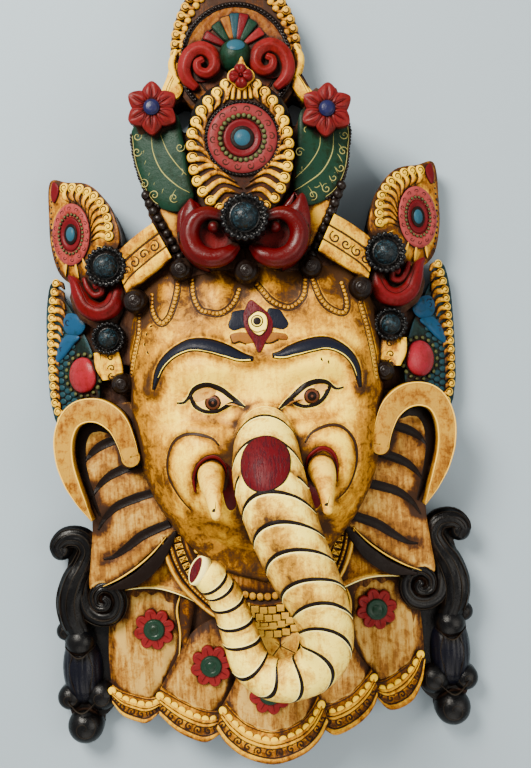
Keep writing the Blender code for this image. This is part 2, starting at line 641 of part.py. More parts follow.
def crown_middle():
    """The raised board, the medallion with its rosette and jewel, the centre boss and bead."""
    board = mirrored_outline(CROWN_BOARD, 30)
    yield slab(board, CROWN_BOARD_AT, level(CROWN_BOARD_Z))
    outline = mirrored_outline(MEDALLION_OUTLINE, 60, MEDALLION_AT[0])
    turn = np.linspace(0, 1, len(outline), endpoint=False)
    scales = 1 + MEDALLION_SCALE_DEPTH * np.abs(np.sin(turn * 2 * math.pi * MEDALLION_SCALES))
    outline = MEDALLION_AT + (outline - MEDALLION_AT) * scales[:, None]
    dished = lambda x, y, t: MEDALLION_Z + MEDALLION_DISH * t - EDGE_ROUNDING * t**8
    yield slab(outline, MEDALLION_AT, dished)
    yield dome(MEDALLION_AT, ROSETTE_RADIUS, MEDALLION_Z, ROSETTE_RISE)
    jewel = mirrored_outline(JEWEL_OUTLINE, 10, MEDALLION_AT[0])
    jewel_at = (MEDALLION_AT[0], np.mean(jewel[:, 1]))
    yield slab(jewel, jewel_at, lambda x, y, t: JEWEL_Z - JEWEL_FALL * t**2)
    yield from boss(*CENTRE_BOSS)
    yield ball(MIDDLE_BEAD[:3], MIDDLE_BEAD[3])


def crown_sides(side):
    """A leaf with its flower, a scroll, a line of beads, a gold band and round beads."""
    lean = leaning(LEAF_SPAN, LEAF_INNER_Z, LEAF_OUTER_Z)
    outline = smooth_line(side_x(LEAF_OUTLINE, side), 40, closed=True)
    yield slab(outline, side_x(LEAF_AT, side), lambda x, y, t: lean(x) - EDGE_ROUNDING * t**6)
    flower = side_x(LEAF_FLOWER_AT, side)
    yield dome(flower, LEAF_FLOWER_RADIUS, LEAF_FLOWER_Z - LEAF_FLOWER_RISE, LEAF_FLOWER_RISE,
               lobes=LEAF_FLOWER_PETALS, lobe_depth=LEAF_FLOWER_PETAL_DEPTH)
    yield dome(flower, LEAF_FLOWER_CENTRE_RADIUS, LEAF_FLOWER_Z, LEAF_FLOWER_CENTRE_RISE)
    scroll = np.c_[side_x(SCROLL_PATH, side), np.full(len(SCROLL_PATH), SCROLL_Z)]
    yield tube(scroll, SCROLL_RADII, steps=30)
    inner = np.c_[side_x(SCROLL_INNER_PATH, side), np.full(len(SCROLL_INNER_PATH), SCROLL_Z)]
    yield tube(inner, SCROLL_INNER_RADII, steps=16)
    yield dome(side_x(SCROLL_FLOOR_AT, side), SCROLL_FLOOR_RADIUS, SCROLL_FLOOR_Z, EDGE_ROUNDING)
    for x, y in smooth_line(side_x(CROWN_BEAD_LINE, side), CROWN_BEADS):
        yield dome((x, y), CROWN_BEAD_RADIUS, CROWN_BOARD_Z, CROWN_BEAD_RADIUS, count=12)
    band_lean = leaning(BAND_SPAN, BAND_INNER_Z, BAND_OUTER_Z)
    outline = smooth_line(side_x(BAND_OUTLINE, side), 36, closed=True)
    yield slab(outline, side_x(BAND_AT, side), lambda x, y, t: band_lean(x))
    recess = side_x(RECESS_PATH, side)
    recess_lean = leaning(RECESS_SPAN, RECESS_INNER_Z, RECESS_OUTER_Z)
    yield band(recess, (RECESS_WIDTH,) * 2, lambda x, y: recess_lean(x))
    for x, y, z, radius in ROUND_BEADS:
        yield ball((side * x, y, z), radius)


def back_plate():
    """The tall plate with scales on its edge, a beaded ring, a fan and a boss; and the hair bun."""
    angle = np.linspace(-math.pi, math.pi, 180, endpoint=False)
    lift = np.clip(1 - np.abs(angle * 2 / math.pi - 1), 0, 1)
    reach = PLATE_RADIUS + (PLATE_TIP_REACH - PLATE_RADIUS) * lift**PLATE_TIP_SHARPNESS
    reach = reach + PLATE_SCALE_RISE * np.abs(np.sin(angle * PLATE_SCALES / 2))
    outline = np.c_[reach * np.cos(angle), PLATE_CENTRE_Y + reach * np.sin(angle)]

    def plate_height(x, y, t):
        field = PLATE_FIELD_SINK * np.clip((PLATE_RING_AT - t) / PLATE_FIELD_SLOPE, 0, 1)
        across = (t - PLATE_RING_AT) / PLATE_RING_HALF_WIDTH
        bead = PLATE_RING_RISE * np.clip(1 - across**2, 0, 1)
        return PLATE_Z - field + bead - EDGE_ROUNDING * t**10

    yield slab(outline, (0.0, PLATE_CENTRE_Y), plate_height, rings=20)
    yield dome((0.0, PLATE_CENTRE_Y), PLATE_BOSS_RADIUS, PLATE_Z, PLATE_BOSS_RISE)
    yield dome(BUN_AT, BUN_HALF_WIDTH, BUN_EDGE_Z, BUN_RISE, BUN_STRETCH)


def plate_sides(side):
    """A red scroll on the plate and the wing at its foot."""
    yield dome(side_x(PLATE_SCROLL_AT, side), PLATE_SCROLL_RADIUS, PLATE_Z, PLATE_SCROLL_RISE)
    outline = smooth_line(side_x(WING_OUTLINE, side), 30, closed=True)
    yield slab(outline, side_x(WING_AT, side), level(WING_Z))


def side_ornaments(side):
    """The upper leaf with its rosette, the bosses and scroll, and the lower leaf."""
    lean = leaning(SIDE_LEAF_SPAN, SIDE_LEAF_INNER_Z, SIDE_LEAF_OUTER_Z)
    outline = smooth_line(side_x(SIDE_LEAF, side), 60, closed=True)
    yield slab(outline, side_x(SIDE_LEAF_AT, side), lambda x, y, t: lean(x) - EDGE_ROUNDING * t**6)
    rosette = side_x(SIDE_ROSETTE_AT, side)
    outline = round_outline(rosette, SIDE_ROSETTE_RADIUS, stretch=SIDE_ROSETTE_STRETCH)
    yield slab(outline, rosette, lambda x, y, t: lean(x) + SIDE_ROSETTE_RISE * np.sqrt(1 - t**2))
    for x, y, top, radius in SIDE_BOSSES:
        yield from boss(side * x, y, top, radius)
    scroll = np.c_[side_x(SIDE_SCROLL_PATH, side), np.full(len(SIDE_SCROLL_PATH), SIDE_SCROLL_Z)]
    yield tube(scroll, SIDE_SCROLL_RADII, steps=26)
    outline = smooth_line(side_x(SIDE_BACKING, side), 40, closed=True)
    yield slab(outline, side_x(SIDE_BACKING_AT, side), level(SIDE_BACKING_Z))
    path = side_x(SMALL_BAND_PATH, side)
    yield band(path, (SMALL_BAND_WIDTH,) * 2, level(SMALL_BAND_Z), steps=6)
    lean_low = leaning(LOWER_LEAF_SPAN, LOWER_LEAF_INNER_Z, LOWER_LEAF_OUTER_Z)
    outline = smooth_line(side_x(LOWER_LEAF, side), 60, closed=True)
    yield slab(outline, side_x(LOWER_LEAF_AT, side), lambda x, y, t: lean_low(x))
    yield dome(side_x(CABOCHON_AT, side), CABOCHON_RADIUS, CABOCHON_EDGE_Z, CABOCHON_RISE)


def add_mesh(name, forms):
    """One mesh object from closed forms."""
    vertices = []
    faces = []
    for form_vertices, form_faces in forms:
        start = sum(len(part) for part in vertices)
        vertices.append(form_vertices)
        faces += [tuple(start + index for index in face) for face in form_faces]
    mesh = bpy.data.meshes.new(name)
    mesh.from_pydata(np.vstack(vertices).tolist(), [], faces)
    mesh.update()
    obj = bpy.data.objects.new(name, mesh)
    bpy.context.scene.collection.objects.link(obj)
    return obj


def all_forms():
    yield from face_forms()
    yield from robe_middle()
    yield from crown_middle()
    yield from back_plate()
    for side in (-1, 1):
        for maker in (tusk, ear, robe_sides, lock_of_hair, crown_sides, plate_sides, side_ornaments):
            yield from maker(side)


def hollow():
    """The cut-out behind the face: an elliptic dome that opens at the back."""
    outline = round_outline(HOLLOW_CENTRE, HOLLOW_HALF_WIDTH, 36, stretch=HOLLOW_STRETCH)
    roof = lambda x, y, t: HOLLOW_DEPTH * np.sqrt(1 - t**HOLLOW_FLATNESS)
    return slab(outline, HOLLOW_CENTRE, roof, rings=6, underside=-BACK_CUT_DEPTH)


def back_cut():
    """A block below the back plane, wider than the mask."""
    corners = BACK_CUT_SIZE / 2 * np.array([(-1, -1), (1, -1), (1, 1), (-1, 1)])
    return slab(corners, (0.0, 0.0), level(0.0), rings=1, underside=-BACK_CUT_DEPTH)


def wood():
    material = bpy.data.materials.new("wood")
    material.use_nodes = True
    shader = material.node_tree.nodes["Principled BSDF"]
    shader.inputs["Base Color"].default_value = WOOD_COLOUR
    shader.inputs["Roughness"].default_value = WOOD_ROUGHNESS
    shader.inputs["Metallic"].default_value = 0.0
    return material


def main():
    for old in list(bpy.data.objects):
        bpy.data.objects.remove(old, do_unlink=True)
    mask = add_mesh("mask", all_forms())
    cutters = bpy.data.collections.new("cutters")
    bpy.context.scene.collection.children.link(cutters)
    for name, form in (
        ("cut_back", back_cut()),
        ("cut_hollow", hollow()),
        ("cut_slot_left", ear_slot(-1)),
        ("cut_slot_right", ear_slot(1)),
    ):
        cutter = add_mesh(name, [form])
        cutter.hide_render = True
        cutter.display_type = "WIRE"
        bpy.context.scene.collection.objects.unlink(cutter)
        cutters.objects.link(cutter)

    melt = mask.modifiers.new("melt", "REMESH")
    melt.mode = "VOXEL"
    melt.voxel_size = CARVING_STEP
    melt.use_smooth_shade = True
    bpy.context.view_layer.update()
    melted = mask.evaluated_get(bpy.context.evaluated_depsgraph_get())
    thin = mask.modifiers.new("thin", "DECIMATE")
    thin.ratio = CARVED_FACES / (2 * len(melted.data.polygons))
    cut = mask.modifiers.new("cut", "BOOLEAN")
    cut.operation = "DIFFERENCE"
    cut.solver = "EXACT"
    cut.operand_type = "COLLECTION"
    cut.collection = cutters
    mask.data.materials.append(wood())


main()
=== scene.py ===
"""Dresses the carved elephant mask in its painted, gilded and glazed surfaces.

Shapes are worked out in millimetres, with x to the viewer's right, y up to the crown and z out of
the face, and become meshes in metres. A flat pattern holds its height above a carved surface in z
until it is laid on that surface.
"""

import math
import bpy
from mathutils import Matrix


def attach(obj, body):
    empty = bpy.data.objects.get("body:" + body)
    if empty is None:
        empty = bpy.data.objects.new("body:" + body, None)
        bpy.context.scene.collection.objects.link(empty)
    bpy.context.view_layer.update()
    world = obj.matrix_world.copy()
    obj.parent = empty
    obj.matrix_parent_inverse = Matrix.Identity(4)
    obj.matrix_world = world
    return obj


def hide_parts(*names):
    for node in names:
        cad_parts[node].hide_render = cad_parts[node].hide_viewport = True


bl_info = {
    "name": "Carved elephant mask",
    "version": (1, 0, 0),
    "blender": (4, 5, 0),
    "location": "3D View > Sidebar > Mask",
    "description": "Builds the painted pieces of a carved elephant mask over its packed block",
    "category": "Add Mesh",
}

import bmesh
import bpy
import numpy as np
from mathutils import Vector

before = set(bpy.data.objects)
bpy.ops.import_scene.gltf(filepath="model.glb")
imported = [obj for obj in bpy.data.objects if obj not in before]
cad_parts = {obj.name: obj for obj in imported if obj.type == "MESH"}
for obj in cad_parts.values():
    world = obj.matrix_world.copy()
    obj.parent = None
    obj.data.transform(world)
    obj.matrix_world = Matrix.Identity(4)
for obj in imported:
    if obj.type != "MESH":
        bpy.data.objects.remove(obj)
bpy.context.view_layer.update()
FULL_TURN = 2 * math.pi
MILLIMETRES = 1000
METRES = 0.001
SIDES = (("left", -1), ("right", 1))


# Lines and outlines


def curve(points, count, closed=False):
    """Evenly spaced points on a Catmull-Rom curve: each span is the cubic through its two middle points
    whose slopes there run between the neighbours.
    """
    points = np.asarray(points, float)
    if closed:
        control = np.vstack([points[-1:], points, points[:2]])
    else:
        control = np.vstack([2 * points[0] - points[1], points, 2 * points[-1] - points[-2]])
    a, b, c, d = (control[first : len(control) - 3 + first, None] for first in range(4))
    t = np.linspace(0, 1, 24, endpoint=False)[None, :, None]
    spans = b + 0.5 * t * (c - a + t * (2 * a - 5 * b + 4 * c - d + t * (3 * b - a - 3 * c + d)))
    fine = np.vstack([spans.reshape(-1, points.shape[1]), control[-2]])
    travelled = np.r_[0, np.cumsum(np.linalg.norm(np.diff(fine, axis=0), axis=1))]
    wanted = np.linspace(0, travelled[-1], count + closed)[:count]
    return np.stack([np.interp(wanted, travelled, axis) for axis in fine.T], axis=1)


def spread(values, count):
    """Values spread evenly over count places and joined by straight lines."""
    values = np.atleast_1d(values)
    return np.interp(np.linspace(0, 1, count), np.linspace(0, 1, len(values)), values)


def length_of(path):
    """The summed length of a path's steps."""
    return np.linalg.norm(np.diff(path, axis=0), axis=1).sum()


def unit(direction):
    """The direction at length 1."""
    return direction / np.linalg.norm(direction)


def directions(path):
    """Unit direction of travel at each point of a path."""
    slope = np.gradient(np.asarray(path, float), axis=0)
    return slope / np.linalg.norm(slope, axis=1)[:, None]


def headings(path):
    """The angle of travel at each point of a flat path."""
    along = directions(path)
    return np.arctan2(along[:, 1], along[:, 0])


def beside(path, distance):
    """The path moved to its left by a distance, or by one distance for each point."""
    heading = directions(path)
    left = np.c_[-heading[:, 1], heading[:, 0]]
    return np.asarray(path, float) + left * np.reshape(distance, (-1, 1))


def other_side(points, side):
    """The points mirrored in the middle plane, where side is -1."""
    points = np.array(points, float)
    points[..., 0] *= side
    return points


def round_line(centre, radius, count=32, lobes=0, lobe_depth=0.0, stretch=1.0, turn=0.0):
    """A circle or an ellipse whose radius swings between 1 and 1 - lobe_depth, once for each lobe."""
    angle = np.linspace(0, FULL_TURN, count, endpoint=False)
    reach = radius * (1 - lobe_depth + lobe_depth * np.abs(np.cos(lobes * (angle - turn) / 2)))
    return np.c_[centre[0] + reach * np.cos(angle), centre[1] + reach * stretch * np.sin(angle)]


def gap_to(x, y, path, count=48):
    """Distance from each point to a smooth line, and how far along it the nearest place lies."""
    fine = curve(path, count)
    points = np.stack([x, y], axis=-1)[..., None, :]
    step = np.diff(fine, axis=0)
    share = np.clip(((points - fine[:-1]) * step).sum(-1) / (step**2).sum(-1), 0, 1)
    gap = np.linalg.norm(points - fine[:-1] - share[..., None] * step, axis=-1)
    nearest = gap.argmin(-1)
    along = np.take_along_axis(share, nearest[..., None], -1)[..., 0]
    return gap.min(-1), (nearest + along) / len(step)


def near(x, y, path):
    """Distance from each point to a smooth line."""
    return gap_to(x, y, path)[0]


def swell(x, y, at, radius, rise, stretch=1.0):
    """A smooth rise round a point: rise times the square of 1 - d^2, gone where d, the distance over the
    radius, is 1.
    """
    away = ((x - at[0]) ** 2 + ((y - at[1]) / stretch) ** 2) / radius**2
    return rise * np.clip(1 - away, 0, 1) ** 2


def fade(value, start, end):
    """0 at start and 1 at end, with a smooth step between."""
    t = np.clip((value - start) / (end - start), 0, 1)
    return t * t * (3 - 2 * t)


def bell(value, reach, power=2):
    """1 where the value is 0, and it falls off as e to the power of -(value / reach)^power."""
    return np.exp(-((value / reach) ** power))


def around(angle, turn=0.0):
    """An angle with a turn added, brought to between half a turn back and half a turn on."""
    return np.angle(np.exp(1j * (angle + turn)))


def whole_outline(half, count, shift=0.0):
    """A closed outline from its right half: the smooth half and its mirror image, moved right by a
    shift.
    """
    right = curve(half, count)
    return np.vstack([right, right[-2:0:-1] * [-1, 1]]) + [shift, 0]


# Closed surfaces


class Shape:
    """Closed surfaces in millimetres: points, faces of four and of three corners, and at each point how
    much dark glaze and painted shade lies there, or, below zero, how much painted highlight lightens it.
    """

    def __init__(self, points, quads, tris, wash=0.0):
        self.points = np.asarray(points, float)
        self.quads = np.asarray(quads, int).reshape(-1, 4)
        self.tris = np.asarray(tris, int).reshape(-1, 3)
        self.wash = np.broadcast_to(np.asarray(wash, float), len(self.points))

    def changed(self, points):
        return Shape(points, self.quads, self.tris, self.wash)

    def moved(self, x=0.0, y=0.0, z=0.0):
        return self.changed(self.points + [x, y, z])

    def on(self, surface):
        """Lays a flat pattern on a surface: z becomes surface(x, y) plus the height that it held."""
        x, y, height = self.points.T
        return self.changed(np.c_[x, y, surface(x, y) + height])

    def mirrored(self):
        return Shape(self.points * [-1, 1, 1], self.quads[:, ::-1], self.tris[:, ::-1], self.wash)


class Painted(list):
    """Pairs of a paint and a shape, in the order in which they are laid."""

    def add(self, paint_name, shape):
        self.append((paint_name, shape))


def together(shapes):
    """One Shape from several."""
    shapes = list(shapes)
    starts = np.r_[0, np.cumsum([len(shape.points) for shape in shapes])]
    return Shape(
        np.vstack([shape.points for shape in shapes]),
        np.vstack([shape.quads + start for shape, start in zip(shapes, starts)]),
        np.vstack([shape.tris + start for shape, start in zip(shapes, starts)]),
        np.hstack([shape.wash for shape in shapes]),
    )


def skin(rings, wash=0.0, start=None, end=None):
    """A closed surface over rings of points: each ring is joined to the next, and the first and last are
    closed at a pole. It is turned so that its volume, the sum of its faces' triple products, is
    positive.
    """
    rings = np.asarray(rings, float)
    rows, columns = rings.shape[:2]
    start = rings[0].mean(0) if start is None else np.asarray(start, float)
    end = rings[-1].mean(0) if end is None else np.asarray(end, float)
    points = np.vstack([rings.reshape(-1, 3), start, end])
    wash = np.broadcast_to(np.reshape(wash, (-1, 1)) if np.ndim(wash) == 1 else wash, (rows, columns))
    wash = np.r_[wash.ravel(), wash[0].mean(), wash[-1].mean()]
    here = np.arange(columns)
    there = (here + 1) % columns
    row = np.arange(rows - 1)[:, None] * columns
    quads = np.stack([row + here, row + there, row + columns + there, row + columns + here], -1)
    last = (rows - 1) * columns
    first_fan = np.stack([np.full(columns, rows * columns), there, here], -1)
    last_fan = np.stack([np.full(columns, rows * columns + 1), last + here, last + there], -1)
    shape = Shape(points, quads.reshape(-1, 4), np.vstack([first_fan, last_fan]), wash)
    corners = np.vstack([shape.quads[:, :3], shape.quads[:, [0, 2, 3]], shape.tris])
    a, b, c = (points[corners[:, corner]] - points.mean(0) for corner in range(3))
    if np.einsum("ij,ij->i", a, np.cross(b, c)).sum() < 0:
        shape.quads = shape.quads[:, ::-1]
        shape.tris = shape.tris[:, ::-1]
    return shape


def mound(outline, height, centre=None, drop=1.0, rings=8, under=0, wash=0.0):
    """A cushion inside an outline. Ring t of its top is the outline drawn in to t times its size about
    the centre, at height(x, y, t), and its underside lies at -drop, or that far below the top where
    under gives it rings of its own.
    """
    outline = np.asarray(outline, float)
    centre = outline.mean(0) if centre is None else np.asarray(centre, float)
    share = np.sin(np.linspace(0, math.pi / 2, rings + 1))[1:]
    flat = centre + share[:, None, None] * (outline - centre)
    t = np.broadcast_to(share[:, None], flat.shape[:2])
    top = np.broadcast_to(height(flat[..., 0], flat[..., 1], t), t.shape)
    glaze = np.broadcast_to(wash(flat[..., 0], flat[..., 1], t) if callable(wash) else wash, t.shape)
    middle = float(np.asarray(height(centre[:1], centre[1:], np.zeros(1))).ravel()[0])
    pole = [*centre, middle]
    if under:
        low_share = np.linspace(1, 0, under + 1)[:-1]
        low_flat = centre + low_share[:, None, None] * (outline - centre)
        low_t = np.broadcast_to(low_share[:, None], low_flat.shape[:2])
        low = height(low_flat[..., 0], low_flat[..., 1], low_t) - drop
        foot = [*centre, middle - drop]
    else:
        low_flat = outline[None]
        low = np.full((1, len(outline)), -drop)
        foot = [*centre, -drop]
    rings_of_points = np.concatenate([np.dstack([flat, top]), np.dstack([low_flat, low])])
    glaze = np.concatenate([glaze, np.repeat(glaze[-1:], len(low_flat), axis=0)])
    return skin(rings_of_points, glaze, pole, foot)


def patch(points, count, height, centre=None, **more):
    """A mound inside the smooth closed line through some points."""
    return mound(curve(points, count, closed=True), height, centre, **more)


def half_round(t):
    """A round's height: the root of 1 - t^2."""
    return np.sqrt(np.clip(1 - t**2, 0, 1))


def flat(rise, rounding=0.5, power=6):
    """A level top whose height falls by rounding at its edge."""
    return lambda x, y, t: rise - rounding * t**power


def dome(rise, base=0.0):
    """A round top, rise high over its base."""
    return lambda x, y, t: base + rise * half_round(t)


def button(centre, radius, rise, count=24, rings=5, stretch=1.0, **more):
    return mound(
        round_line(centre, radius, count, stretch=stretch), dome(rise), centre, rings=rings, **more
    )


SECTION_ROUND = np.array(
    [[-1.0, 0.0], [-0.8, 0.6], [-0.4, 0.92], [0.0, 1.0], [0.4, 0.92], [0.8, 0.6], [1.0, 0.0]]
)
SECTION_FLAT = np.array(
    [[-1.0, 0.0], [-0.93, 0.75], [-0.8, 1.0], [0.0, 1.0], [0.8, 1.0], [0.93, 0.75], [1.0, 0.0]]
)
SECTION_LINE = np.array([[-1.0, 0.0], [-0.6, 1.0], [0.6, 1.0], [1.0, 0.0]])
THIN_LINE = 1.7


def stroke(path, widths, rise=0.5, drop=0.8, steps=None, section=None, smooth=True, wash=0.0):
    """A raised line: the section, as shares of half the width and of the rise, is carried along the path
    and closed below at -drop.
    """
    if steps is None:
        steps = int(np.clip(length_of(np.asarray(path, float)) / 1.6, 8, 90))
    path = curve(path, steps) if smooth else np.asarray(path, float)
    if section is None or np.max(widths) < THIN_LINE:
        section = SECTION_LINE if np.max(widths) < THIN_LINE else SECTION_ROUND
    half = spread(widths, len(path)) / 2
    heading = directions(path)
    left = np.c_[-heading[:, 1], heading[:, 0]]
    across = np.r_[section[:, 0], 1.0, -1.0]
    height = np.r_[section[:, 1] * rise, -drop, -drop]
    flat_points = path[:, None] + left[:, None] * (half[:, None] * across)[..., None]
    rings = np.dstack([flat_points, np.broadcast_to(height, flat_points.shape[:2])])
    return skin(rings, wash)


class Tube:
    """A round rod along a line in space. A place on it is a share of its length, an angle from the side
    that faces up, and a lift off its surface.
    """

    def __init__(self, path, radii, steps=200):
        self.line = curve(path, steps)
        self.share = np.linspace(0, 1, steps)
        places = np.linspace(0, 1, len(radii))
        if len(radii) == len(path):
            places = np.r_[0, np.cumsum(np.linalg.norm(np.diff(np.asarray(path, float), axis=0), axis=1))]
            places /= places[-1]
        self.radius = curve(np.c_[places * 1000, radii], steps)[:, 1]
        heading = directions(self.line)
        self.up = np.array([0.0, 0.0, 1.0]) - heading * heading[:, 2:]
        self.up /= np.maximum(np.linalg.norm(self.up, axis=1), 1e-6)[:, None]
        self.across = np.cross(heading, self.up)
        self.heading = heading
        self.length = length_of(self.line)

    def read(self, values, share):
        return np.stack([np.interp(share, self.share, column) for column in values.T], axis=-1)

    def at(self, share, angle, lift):
        radius = np.interp(share, self.share, self.radius) + lift
        out = self.read(self.up, share) * np.cos(angle)[..., None]
        out = out + self.read(self.across, share) * np.sin(angle)[..., None]
        return self.read(self.line, share) + out * radius[..., None]

    def skin(self, shares=None, sides=16, lift=None, wash=0.0, ends=(0.6, 0.6), slant=None):
        """The rod's surface, with round ends made of rings that draw in along a quarter circle. A slant
        moves each place on along the rod by so many millimetres.
        """
        shares = self.share if shares is None else np.asarray(shares, float)
        angle = np.linspace(0, FULL_TURN, sides, endpoint=False)
        share, angles = np.meshgrid(shares, angle, indexing="ij")
        raised = np.zeros_like(share) if lift is None else lift(share, angles)
        body = self.at(share + (slant(share, angles) / self.length if slant else 0), angles, raised)
        glaze = np.broadcast_to(wash(share, angles) if callable(wash) else wash, share.shape)
        bend = np.linspace(0, 1, 5)[1:-1] * math.pi / 2
        first = [body[0].mean(0), self.read(self.heading, shares[:1])[0]]
        last = [body[-1].mean(0), self.read(self.heading, shares[-1:])[0]]
        reach = [
            np.interp(shares[0], self.share, self.radius), np.interp(shares[-1], self.share, self.radius)
        ]
        head = [
            first[0] + (body[0] - first[0]) * math.cos(a) - first[1] * reach[0] * ends[0] * math.sin(a)
            for a in bend[::-1]
        ]
        tail = [
            last[0] + (body[-1] - last[0]) * math.cos(a) + last[1] * reach[1] * ends[1] * math.sin(a)
            for a in bend
        ]
        rings = np.concatenate([head, body, tail])
        glaze = np.concatenate([np.repeat(glaze[:1], 3, 0), glaze, np.repeat(glaze[-1:], 3, 0)])
        start = first[0] - first[1] * reach[0] * ends[0]
        end = last[0] + last[1] * reach[1] * ends[1]
        return skin(rings, glaze, start, end)

    def wrap(self, shape):
        """Lays a flat pattern round the rod: x is the way round and y the way along, in millimetres, and
        z the lift.
        """
        x, y, lift = shape.points.T
        share = y / self.length
        radius = np.interp(share, self.share, self.radius)
        return shape.changed(self.at(share, x / radius, lift))


def rod(path, radii, sides=12, steps=40, wash=0.0, ends=(0.6, 0.6)):
    return Tube(path, radii, steps).skin(sides=sides, wash=wash, ends=ends)


def ball(radius=1.0, rings=7, sides=10, squash=1.0):
    """A ball round the origin: ring angles run evenly from pole to pole."""
    angle = np.linspace(0, math.pi, rings + 2)[1:-1]
    turn = np.linspace(0, FULL_TURN, sides, endpoint=False)
    rings_of_points = np.stack([
        np.sin(angle)[:, None] * np.cos(turn),
        np.sin(angle)[:, None] * np.sin(turn),
        np.broadcast_to(np.cos(angle)[:, None] * squash, (rings, sides)),
    ], axis=-1) * radius
    return skin(rings_of_points, 0.0, (0, 0, radius * squash), (0, 0, -radius * squash))


def copies(template, places, turns=0.0, sizes=1.0):
    """Copies of a template at flat or spatial places, each turned about z and sized: point = place +
    size * (turned template).
    """
    places = np.asarray(places, float)
    if places.shape[1] == 2:
        places = np.c_[places, np.zeros(len(places))]
    count = len(places)
    turns = np.broadcast_to(turns, count)[:, None]
    sizes = np.broadcast_to(sizes, count)[:, None, None]
    x, y, z = template.points.T
    turned = np.stack([
        x * np.cos(turns) - y * np.sin(turns),
        x * np.sin(turns) + y * np.cos(turns),
        np.broadcast_to(z, (count, len(z))),
    ], axis=-1)
    points = places[:, None] + turned * sizes
    start = (np.arange(count) * len(x))[:, None, None]
    return Shape(
        points.reshape(-1, 3),
        (template.quads[None] + start).reshape(-1, 4),
        (template.tris[None] + start).reshape(-1, 3),
        np.tile(template.wash, count),
    )


def bead_row(path, count, radius, rise=None, closed=False, rings=4, sides=8):
    """Beads spaced evenly on a path."""
    places = curve(path, count, closed)
    squash = 1.0 if rise is None else rise / radius
    return copies(ball(radius, rings, sides, squash), places)


# Paints


